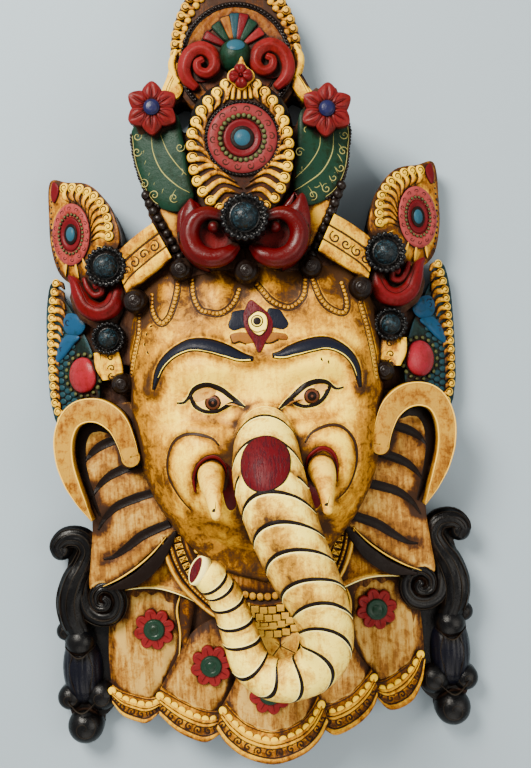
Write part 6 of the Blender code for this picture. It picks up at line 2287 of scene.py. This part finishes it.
class MaskPlate(bpy.types.Operator):
    """Builds the hair bun and the tall plate behind it, with curled edge, bead ring, fan and scrolls."""

    bl_idname = "mask.plate"
    bl_label = "Tall plate"

    def execute(self, context):
        def combed(x, y, t):
            return BUN_BASE + BUN_RISE * half_round(t) + 0.7 * np.cos(x * 1.25 + 0.02 * y)

        bun = mound(
            round_line(BUN_AT, BUN_RADIUS, 200, stretch=0.98), combed, BUN_AT, drop=16, rings=40, under=3,
            wash=0.4,
        )
        make_piece("bun", [("bun", bun)])

        plate = Painted()
        plate.add(
            "old_gold",
            mound(plate_edge(240), flat(37, 2.5, 10), PLATE_CENTRE, drop=30, rings=20, under=3, wash=0.7),
        )
        surface = level(PLATE_TOP)
        edge = plate_edge(720, 0.935)
        angle = np.linspace(-math.pi, math.pi, 720, endpoint=False)
        travelled = np.r_[0, np.cumsum(np.linalg.norm(np.diff(edge, axis=0), axis=1))]
        top = np.interp(math.pi / 2, angle, travelled)

        def on_edge(at):
            return np.array([np.interp(at, travelled, edge[:, 0]), np.interp(at, travelled, edge[:, 1])])

        for side in (-1, 1):
            for number in range(PLATE_CURLS):
                at = top + side * -1 * (5.0 + CURL_SPACING * number)
                place = on_edge(at)
                if place[1] < LOWEST_CURL:
                    continue
                inner = PLATE_CENTRE + (on_edge(at + side * 12) - PLATE_CENTRE) * 0.86
                plate += comma(inner, place, 4.7, surface, side, 4.8, "gold", rise=3.2, sag=0.22)
                second = PLATE_CENTRE + (place - PLATE_CENTRE) * 0.88
                plate.add("gold", button(second, 3.7, 3.0, 18, 5, drop=2, wash=0.15).moved(z=PLATE_TOP))
        for side in (-1, 1):
            tail = [(side * 57, 300), (side * 61.5, 288), (side * 60, 278), (side * 55.5, 268)]
            plate.add("gold_bright", stroke(tail, (5, 8, 9, 6), 4, 10).moved(z=37))
        ring = ring_edge(160)
        plate.add(
            "bead",
            stroke(np.vstack([ring, ring[:1]]), 5.6, 2.0, 6, smooth=False, section=SECTION_FLAT).moved(
                z=37.6
            ),
        )
        plate.add("bead", copies(ball(1.9, 5, 8), curve(ring_edge(160), 96, closed=True)).moved(z=39.6))
        field = ring_edge(140, 0.95)
        plate.add(
            "ochre",
            mound(
                field, lambda x, y, t: 37.5 + 1.2 * t**6 + 0.5 * np.sin(x * 0.9) * np.sin(y * 0.8),
                (0, 285), drop=5, rings=20, under=1, wash=0.25,
            ),
        )
        inner = ring_edge(60, 0.74)
        plate.add("ink", stroke(np.vstack([inner, inner[:1]]), 0.9, 0.5, 2, smooth=False).moved(z=38.2))
        plate.add(
            "ochre_dark",
            mound(ring_edge(90, 0.72), level(38.4), (0, 285), drop=4, rings=6, under=1, wash=0.4),
        )
        root = np.array([-0.3, 296.0])
        for x, y, name in FAN:
            tip = np.array([x, y], float)
            along = (tip - root) / np.linalg.norm(tip - root)
            across = np.array([-along[1], along[0]])
            start = root + along * 12
            outline = np.array(
                [
                    start - across * 2.2, tip - across * 4.6 - along * 3, tip - across * 3.6, tip,
                    tip + across * 3.6, tip + across * 4.6 - along * 3, start + across * 2.2,
                ]
            )
            plate.add(name, patch(outline, 32, flat(3.2, 1.4), drop=3, rings=8).moved(z=38))
            outer = np.vstack([outline, outline[:1]])
            plate.add("ink", stroke(outer, 0.7, 1.8, 2, steps=40).moved(z=38.2))
        for side in (-1, 1):
            lift = np.interp(np.linspace(0, 1, 11), (0, 0.5, 1), (42, 44, 46))
            tube = Tube(
                np.c_[PLATE_SCROLLS[side], lift], (4.4, 6.2, 7.0, 7.4, 7.4, 7.0, 6.2, 5.2, 4.6, 4.2, 3.6),
                120,
            )
            crease = lambda share, angle: sum(-1.0 * bell(around(angle, -at), 0.16) for at in (-0.5, 0.5))
            plate.add("coral_red", tube.skin(sides=22, lift=crease))
            plate.add(
                "floor_red",
                mound(
                    round_line((side * 34, 282), 14.5, 36), level(40.5), drop=4, rings=5, under=1, wash=0.3
                ),
            )
        plate.add(
            "green", mound(round_line((-0.5, 290), 16.2, 60), dome(16, 41), drop=6, rings=16, under=2)
        )
        plate.add(
            "sky",
            mound(
                round_line((0.5, 297), 8.6, 36, stretch=0.7),
                lambda x, y, t: 42 + 16 * np.sqrt(
                    np.clip(1 - ((x + 0.5) ** 2 + (y - 290) ** 2) / 262, 0, 1)
                ) - 0.5 * t**4,
                drop=3, rings=9, under=2,
            ),
        )
        make_piece("tall_plate", plate)

        for name, side in SIDES:
            line = np.array(WINGS[side])
            wing = patch(line, 60, flat(40, 2, 4), drop=30, rings=14, under=2, wash=0.15)
            pieces = Painted()
            pieces.add("gold_bright", wing)
            for share in (0.35, 0.65):
                a = line[0] * (1 - share) + line[-1] * share
                b = line[3] * (1 - share) + line[4] * share
                pieces.add(
                    "brown_line",
                    stroke([a, (a + b) / 2 + [side * 1.5, 0], b], (0.3, 1.2, 0.3), 0.4, 2).moved(z=39.6),
                )
            make_piece(f"wing_{name}", pieces)
        return {"FINISHED"}


# The side ornaments


SIDE_LEAF = [
    (187, 181), (168, 178), (147, 173), (131, 158), (121, 138), (118, 112), (140, 90), (164, 80), (181, 91),
    (189, 117), (190, 145),
]
SIDE_CURLS = [
    (171, 172.5), (161.5, 171), (152, 167.5), (143, 162), (135.5, 154), (130, 144.5), (127.5, 133),
    (127, 120.5),
]
# Feathers: outline, and the middle and radius of the curl drawn on each.
FEATHERS = (
    ([(156, 40), (164, 50), (175, 52), (180, 43), (176, 33), (163, 31)], (174, 44), 5),
    ([(163, 29), (176, 32), (186, 22), (190, 6), (181, 10), (170, 21)], (182, 19), 4.2),
)
LOWER_LEAF = [
    (191, 84), (198, 60), (200, 25), (200, -10), (198, -36), (188, -56), (150, -40), (146, -10), (152, 16),
    (164, 42), (178, 66),
]


class MaskSides(bpy.types.Operator):
    """Builds the side ornaments: a gold leaf with a rosette, bosses, a red scroll and a lower leaf of
    scales.
    """

    bl_idname = "mask.sides"
    bl_label = "Side ornaments"

    def execute(self, context):
        for name, side in SIDES:
            lean = leaning((118, 192), 70, 28)
            flat_side = lambda points: other_side(points, side)
            edge = curve(flat_side(SIDE_LEAF), 120, closed=True)
            centre = flat_side([158, 130])
            made = Painted()
            made.add(
                "gold",
                mound(
                    edge, lambda x, y, t: lean(x, y) - 3 * t**6, centre, drop=22, rings=28, under=3,
                    wash=lambda x, y, t: 0.35 + 0.3 * fade(t, 0.85, 1),
                ),
            )
            rose = np.array(flat_side([166, 127]), float)
            for head in flat_side(curve(SIDE_CURLS, 10)):
                out = head - rose
                angle = math.atan2(out[1], out[0] / 0.62)
                tail = rose + np.array(
                    [21.0 * math.cos(angle + side * 0.2), 31 * math.sin(angle + side * 0.2)]
                )
                made += comma(tail, head, 4.9, lean, side, 5.4, "gold_bright", rise=2.8)
            for x, y in ((121, 103), (133, 92), (148, 88), (160, 84), (174, 88)):
                tip = flat_side([x, y])
                inner = tip + (rose - tip) * 0.42
                made.add(
                    "gold",
                    stroke([inner, (inner + tip) / 2 + [side * 1.2, 0.5], tip], (1.5, 4.2, 1.0), 2.2, 3).on(
                        lean
                    ),
                )
            for number in range(16):
                y = 97 + number * 5.4
                x = np.interp(y, (90, 117, 145, 180), (181, 187, 188, 184))
                made.add(
                    "bead",
                    copies(button((0, 0), 1.3, 1.0, 8, 3), [flat_side([x - 0.5, y])]).on(
                        raised(lean, -1.8)
                    ),
                )
            tip = [(183, 180), (177, 175), (178, 167), (183, 160), (186, 168)]
            made.add("crimson_plain", patch(flat_side(tip), 26, flat(2.0, 1.0), drop=4, rings=6).on(lean))
            flower = rosette((0, 0), 0.0, 20.0, 1.47, "rose", "sky", 16, 26)
            made += [
                (paint_name, shape.moved(rose[0], rose[1]).on(raised(lean, 1.0)))
                for paint_name, shape in flower
            ]
            make_piece(f"side_leaf_{name}", made)

            make_piece(
                f"side_boss_upper_{name}",
                ruffled_boss(flat_side([129.5, 91]), 87.5, 19.3, "peacock"),
            )
            make_piece(
                f"side_boss_lower_{name}",
                ruffled_boss(flat_side([132, 25]), 75.5, 15.8, "peacock_dark"),
            )

            line = flat_side(
                [(168, 86), (162, 79), (157, 67), (151, 56), (139, 50), (128, 54), (122, 64), (121, 76)]
            )
            tube = Tube(
                np.c_[line, (54, 57, 60, 62, 63, 64, 64, 62)], (1.6, 5.4, 8.0, 9.0, 9.4, 9.2, 8.8, 6.0), 90
            )
            crease = lambda share, angle: sum(-0.9 * bell(around(angle, -at), 0.16) for at in (-0.55, 0.45))
            scroll = Painted()
            scroll.add("scroll_red", tube.skin(sides=28, lift=crease))
            hook = flat_side([(152, 82), (149, 73), (143, 66), (136, 68), (137, 75), (142, 74)])
            scroll.add(
                "scroll_red",
                rod(np.c_[hook, (62, 63, 64, 65, 65, 65)], (2.5, 3.6, 3.6, 3.4, 3.2, 3.6), 14, 40),
            )
            scroll.add(
                "floor_red",
                mound(
                    round_line(flat_side([139, 66]), 20, 40), level(56), drop=8, rings=6, under=2, wash=0.4
                ),
            )
            for width in (0.9, 0.8):
                path = np.c_[np.full(40, side * 4.0), np.linspace(0.12, 0.9, 40) * tube.length]
                scroll.add("coral", tube.wrap(stroke(path, (0.2, width, 0.2), 0.25, 1, smooth=False)))
            make_piece(f"side_scroll_{name}", scroll)

            low = leaning((146, 200), 52, 20)
            edge = curve(flat_side(LOWER_LEAF), 120, closed=True)
            made = Painted()
            made.add(
                "teal",
                mound(
                    edge, lambda x, y, t: low(x, y) - 2 * t**6, flat_side([176, 5]), drop=18, rings=24,
                    under=3, wash=0.2,
                ),
            )
            for number in reversed(range(17)):
                y = 82 - number * 8.3
                x = np.interp(-y, (-84, -60, -25, 10, 36, 56), (190, 196, 199, 199.5, 198, 190))
                reach = np.interp(number, (0, 3, 6, 10, 16), (15, 23, 18, 13, 11))
                way = np.array([-0.80, -0.60])
                root = np.array([x - 1.5, y + 3])
                tip = root + way * reach
                head = flat_side([x - 4.5, y + 1])
                made += comma(
                    flat_side(tip), head, 4.3, low, -side, 6.5 if number in (1, 2, 3) else 5.4,
                    "gold_bright", rise=3.2, sag=0.20,
                )
            for feather, curl_at, curl_size in FEATHERS:
                feather, curl_at = flat_side(feather), flat_side(curl_at)
                made.add("sky_bright", patch(feather, 46, flat(4.6, 2.6, 4), drop=4, rings=12).on(low))
                made.append(
                    ink_curl(curl_at, curl_size, raised(low, 4.1), 1.2, 1.0, side, 1.3, "navy", 0.4)
                )
            for column, shift in ((0, 0.0), (1, 0.5), (2, 0.0)):
                for number in range(13):
                    y = 34 - (number + shift) * 6.6
                    x = np.interp(-y, (-34, 0, 30, 56), (183, 185.5, 184.5, 178)) - column * 6.2
                    if np.hypot(x - 161, y + 8) > 20 and y > -50:
                        made.add(
                            "teal",
                            copies(
                                mound(
                                    round_line((0, 0), 4.0, 12, stretch=0.8), dome(1.9), drop=1.5, rings=4
                                ),
                                [flat_side([x, y])],
                            ).on(low),
                        )
            jewel_at = np.array(flat_side([161, -8]), float)
            arc_angle = np.linspace(-0.9, 1.2, 15) * math.pi
            arc = jewel_at + np.c_[side * np.cos(arc_angle), np.sin(arc_angle)] * [18.2, 20.0]
            made.add("leaf_bead", bead_row(arc, 20, 2.2, 2.0, rings=5, sides=10).on(raised(low, 0.8)))
            made.add(
                "green",
                mound(
                    round_line(jewel_at, 16.6, 44), lambda x, y, t: low(x, y) + 1.8, drop=4, rings=8,
                    under=1, wash=0.2,
                ),
            )
            made.add(
                "cabochon",
                mound(
                    round_line(jewel_at, 14.8, 54, stretch=1.16),
                    lambda x, y, t: low(x, y) + 2.0 + 8.0 * half_round(t), drop=12, rings=16, under=2,
                ),
            )
            make_piece(f"lower_leaf_{name}", made)
        return {"FINISHED"}


# The block


# Under the trunk and tusks the block keeps this share of their thickness.
BLOCK_CORE = 0.6
CORE_REACH = 4.0
CORE_FLOOR = 70.0
# How far the block stays under the face, and from what height it counts as under it.
BLOCK_UNDER_FACE = 6.0
FACE_FLOOR = 45.0
# Elsewhere it sinks by this much, in full from SINK_FROM + SINK_OVER upwards.
BLOCK_SINK = 6.0
SINK_FROM = 16.0
SINK_OVER = 14.0
# Below the red horns it stays under this height. They reach this far sideways and span these y.
BLOCK_UNDER_HORNS = 95.0
HORNS_HALF_WIDTH = 56.0
HORNS_SPAN = (78.0, 150.0)


class MaskBlock(bpy.types.Operator):
    """Builds the carved block that carries every piece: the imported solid, drawn in by a little under the
    painted skins, with its flat back, hollow and slots.
    """

    bl_idname = "mask.block"
    bl_label = "Block"

    def execute(self, context):
        inset = context.scene.mask_sizes.block_inset * MILLIMETRES
        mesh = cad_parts["mask"].data.copy()
        mesh.name = "block"
        shape = bmesh.new()
        shape.from_mesh(mesh)
        bmesh.ops.remove_doubles(shape, verts=shape.verts, dist=1e-6)
        bmesh.ops.recalc_face_normals(shape, faces=shape.faces)
        shape.normal_update()
        points = np.array([vertex.co for vertex in shape.verts]) * MILLIMETRES
        normals = np.array([vertex.normal for vertex in shape.verts])
        normals[points[:, 2] < 0.1, 2] = 0.0
        points -= normals * inset
        drawn_in = np.zeros(len(points), bool)
        for line, radii in (
            (TRUNK_LINE, TRUNK_RADII), *((tusk_line(side), TUSK_RADII) for side in (-1, 1))
        ):
            spine = np.c_[curve(line, 200), curve(np.c_[radii, radii], 200)[:, 0]]
            away = np.linalg.norm(points[:, None] - spine[:, :3], axis=2) - spine[:, 3]
            nearest = spine[away.argmin(1), :3]
            near_core = (away.min(1) < CORE_REACH) & (points[:, 2] > CORE_FLOOR)
            points[near_core] = nearest[near_core] + (points[near_core] - nearest[near_core]) * BLOCK_CORE
            drawn_in |= near_core
        x, y, z = points.T
        under = (face_share(x, y) < 1) & (z > FACE_FLOOR) & ~drawn_in
        points[under, 2] = np.minimum(z[under], face_top(x[under], y[under]) - BLOCK_UNDER_FACE)
        lower = ~drawn_in & ~under
        points[lower, 2] -= BLOCK_SINK * np.clip((z[lower] - SINK_FROM) / SINK_OVER, 0, 1)
        horned = lower & (np.abs(x) < HORNS_HALF_WIDTH) & (y > HORNS_SPAN[0]) & (y < HORNS_SPAN[1])
        points[horned, 2] = np.minimum(points[horned, 2], BLOCK_UNDER_HORNS)
        points[:, 2] = np.maximum(points[:, 2], 0.0)
        for vertex, point in zip(shape.verts, points * METRES):
            vertex.co = point
        shape.to_mesh(mesh)
        shape.free()
        mesh.materials.clear()
        mesh.materials.append(paint("block"))
        mesh.polygons.foreach_set("use_smooth", np.ones(len(mesh.polygons), bool))
        block = bpy.data.objects.new("block", mesh)
        bpy.context.scene.collection.objects.link(block)
        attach(block, "root")
        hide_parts("mask")
        return {"FINISHED"}


# The stage


FLOOR_HALF_WIDTH = 6.0
FLOOR_HEIGHT = -0.0005
FLOOR_COLOUR = (0.250, 0.315, 0.365, 1.0)
FLOOR_ROUGHNESS = 0.9
STUDIO_COLOUR = (1.0, 0.965, 0.91, 1.0)
STUDIO_STRENGTH = 0.62
LAMP_COLOUR = (1.0, 0.94, 0.84)
LAMP_AIM = Vector((0.0, 0.0, 0.05))
# Soft lamps: name, place in metres, width in metres and power in watts.
LAMPS = (
    ("key", (-0.75, 0.95, 1.35), 0.7, 104.0),
    ("fill", (1.1, -0.2, 1.2), 1.2, 22.0),
    ("foot", (0.0, -1.3, 0.9), 1.2, 11.0),
)
CAMERA_PLACE = (0.0125, -0.025, 1.0)
CAMERA_TURN = -2.9
CAMERA_LENS = 46.875
CAMERA_SENSOR = 36.0


class MaskStage(bpy.types.Operator):
    """Sets the mask on a plain pale floor under soft studio light, with a camera that looks straight
    down on it.
    """

    bl_idname = "mask.stage"
    bl_label = "Stage"

    def execute(self, context):
        scene = context.scene
        mesh = bpy.data.meshes.new("floor")
        corners = np.array([(-1, -1), (1, -1), (1, 1), (-1, 1)]) * FLOOR_HALF_WIDTH
        mesh.from_pydata([(*corner, FLOOR_HEIGHT) for corner in corners.tolist()], [], [(0, 1, 2, 3)])
        floor = bpy.data.objects.new("floor", mesh)
        scene.collection.objects.link(floor)
        pale = bpy.data.materials.new("pale_floor")
        pale.use_nodes = True
        shader = pale.node_tree.nodes["Principled BSDF"]
        shader.inputs["Base Color"].default_value = FLOOR_COLOUR
        shader.inputs["Roughness"].default_value = FLOOR_ROUGHNESS
        mesh.materials.append(pale)

        world = bpy.data.worlds.new("studio")
        world.use_nodes = True
        background = world.node_tree.nodes["Background"]
        background.inputs["Color"].default_value = STUDIO_COLOUR
        background.inputs["Strength"].default_value = STUDIO_STRENGTH
        scene.world = world
        for name, place, size, power in LAMPS:
            lamp = bpy.data.lights.new(name, "AREA")
            lamp.size = size
            lamp.energy = power
            lamp.color = LAMP_COLOUR
            holder = bpy.data.objects.new(name, lamp)
            holder.location = place
            aim = LAMP_AIM - Vector(place)
            holder.rotation_euler = aim.to_track_quat("-Z", "Y").to_euler()
            scene.collection.objects.link(holder)

        lens = bpy.data.cameras.new("camera")
        lens.lens = CAMERA_LENS
        lens.sensor_width = CAMERA_SENSOR
        camera = bpy.data.objects.new("camera", lens)
        camera.location = CAMERA_PLACE
        camera.rotation_euler = (0.0, 0.0, math.radians(CAMERA_TURN))
        scene.collection.objects.link(camera)
        scene.camera = camera
        return {"FINISHED"}


# Settings, panel and start


class MaskSizes(bpy.types.PropertyGroup):
    """Sizes that a user would change."""

    ring_depth: bpy.props.FloatProperty(
        name="Ring depth", description="How deep the trunk's rings are cut", default=0.0008, min=0.0,
        max=0.003, unit="LENGTH",
    )
    painted_line: bpy.props.FloatProperty(
        name="Painted line", description="Width of the painted lines round the eyes", default=0.0016,
        min=0.0005, max=0.004, unit="LENGTH",
    )
    groove_depth: bpy.props.FloatProperty(
        name="Ear groove depth", description="How deep the grooves in the ears are", default=0.005,
        min=0.001, max=0.008, unit="LENGTH",
    )
    block_inset: bpy.props.FloatProperty(
        name="Block inset", description="How far the block lies under the painted skins", default=0.0022,
        min=0.001, max=0.004, unit="LENGTH",
    )


class MaskFinish(bpy.types.PropertyGroup):
    """Colours and the glaze that a user would change."""

    cream: bpy.props.FloatVectorProperty(
        name="Cream", description="Paint of the face", default=PAINTS["cream"][0], min=0.0, max=1.0,
        subtype="COLOR",
    )
    red: bpy.props.FloatVectorProperty(
        name="Red", description="Gloss paint of the crown's scrolls", default=PAINTS["red"][0], min=0.0,
        max=1.0, subtype="COLOR",
    )
    green: bpy.props.FloatVectorProperty(
        name="Green", description="Paint of the crown's leaves", default=PAINTS["green"][0], min=0.0,
        max=1.0, subtype="COLOR",
    )
    # The darkest colour of the glaze and of the painted shade in hollows.
    glaze: bpy.props.FloatVectorProperty(
        name="Glaze", description="Brown glaze in the hollows", default=GLAZE, min=0.0, max=1.0,
        subtype="COLOR",
    )
    # How far ambient occlusion looks for hollows, which get glaze and painted shade.
    glaze_and_shade_reach: bpy.props.FloatProperty(
        name="Glaze reach", description="Width of the hollows that the glaze gathers in", default=0.008,
        min=0.001, max=0.05, unit="LENGTH",
    )
    # How far inside ambient occlusion looks for convex edges, which get rubbed glaze and a painted
    # highlight.
    rub_and_highlight_reach: bpy.props.FloatProperty(
        name="Rubbed reach", description="Width of the edges that the glaze is rubbed off", default=0.003,
        min=0.001, max=0.02, unit="LENGTH",
    )
    glaze_amount: bpy.props.FloatProperty(
        name="Glaze amount", description="How much glaze is left on the paint", default=1.0, min=0.0,
        max=2.0, subtype="FACTOR",
    )


OPERATORS = (
    MaskBlock, MaskFace, MaskTrunk, MaskEars, MaskRobe, MaskLocks, MaskCrown, MaskMedallion, MaskPlate,
    MaskSides, MaskStage,
)


class MaskPanel(bpy.types.Panel):
    """Lists the mask's settings and pieces."""

    bl_idname = "VIEW3D_PT_carved_mask"
    bl_label = "Carved mask"
    bl_space_type = "VIEW_3D"
    bl_region_type = "UI"
    bl_category = "Mask"

    def draw(self, context):
        for settings in (context.scene.mask_sizes, context.scene.mask_finish):
            for name in settings.__annotations__:
                self.layout.prop(settings, name)
        for operator in OPERATORS:
            self.layout.operator(operator.bl_idname)


def register():
    for made in (MaskSizes, MaskFinish, *OPERATORS, MaskPanel):
        bpy.utils.register_class(made)
    bpy.types.Scene.mask_sizes = bpy.props.PointerProperty(type=MaskSizes)
    bpy.types.Scene.mask_finish = bpy.props.PointerProperty(type=MaskFinish)


def unregister():
    del bpy.types.Scene.mask_sizes
    del bpy.types.Scene.mask_finish
    for made in reversed((MaskSizes, MaskFinish, *OPERATORS, MaskPanel)):
        bpy.utils.unregister_class(made)


def main():
    register()
    for operator in OPERATORS:
        group, name = operator.bl_idname.split(".")
        getattr(getattr(bpy.ops, group), name)()


if __name__ == "__main__":
    main()
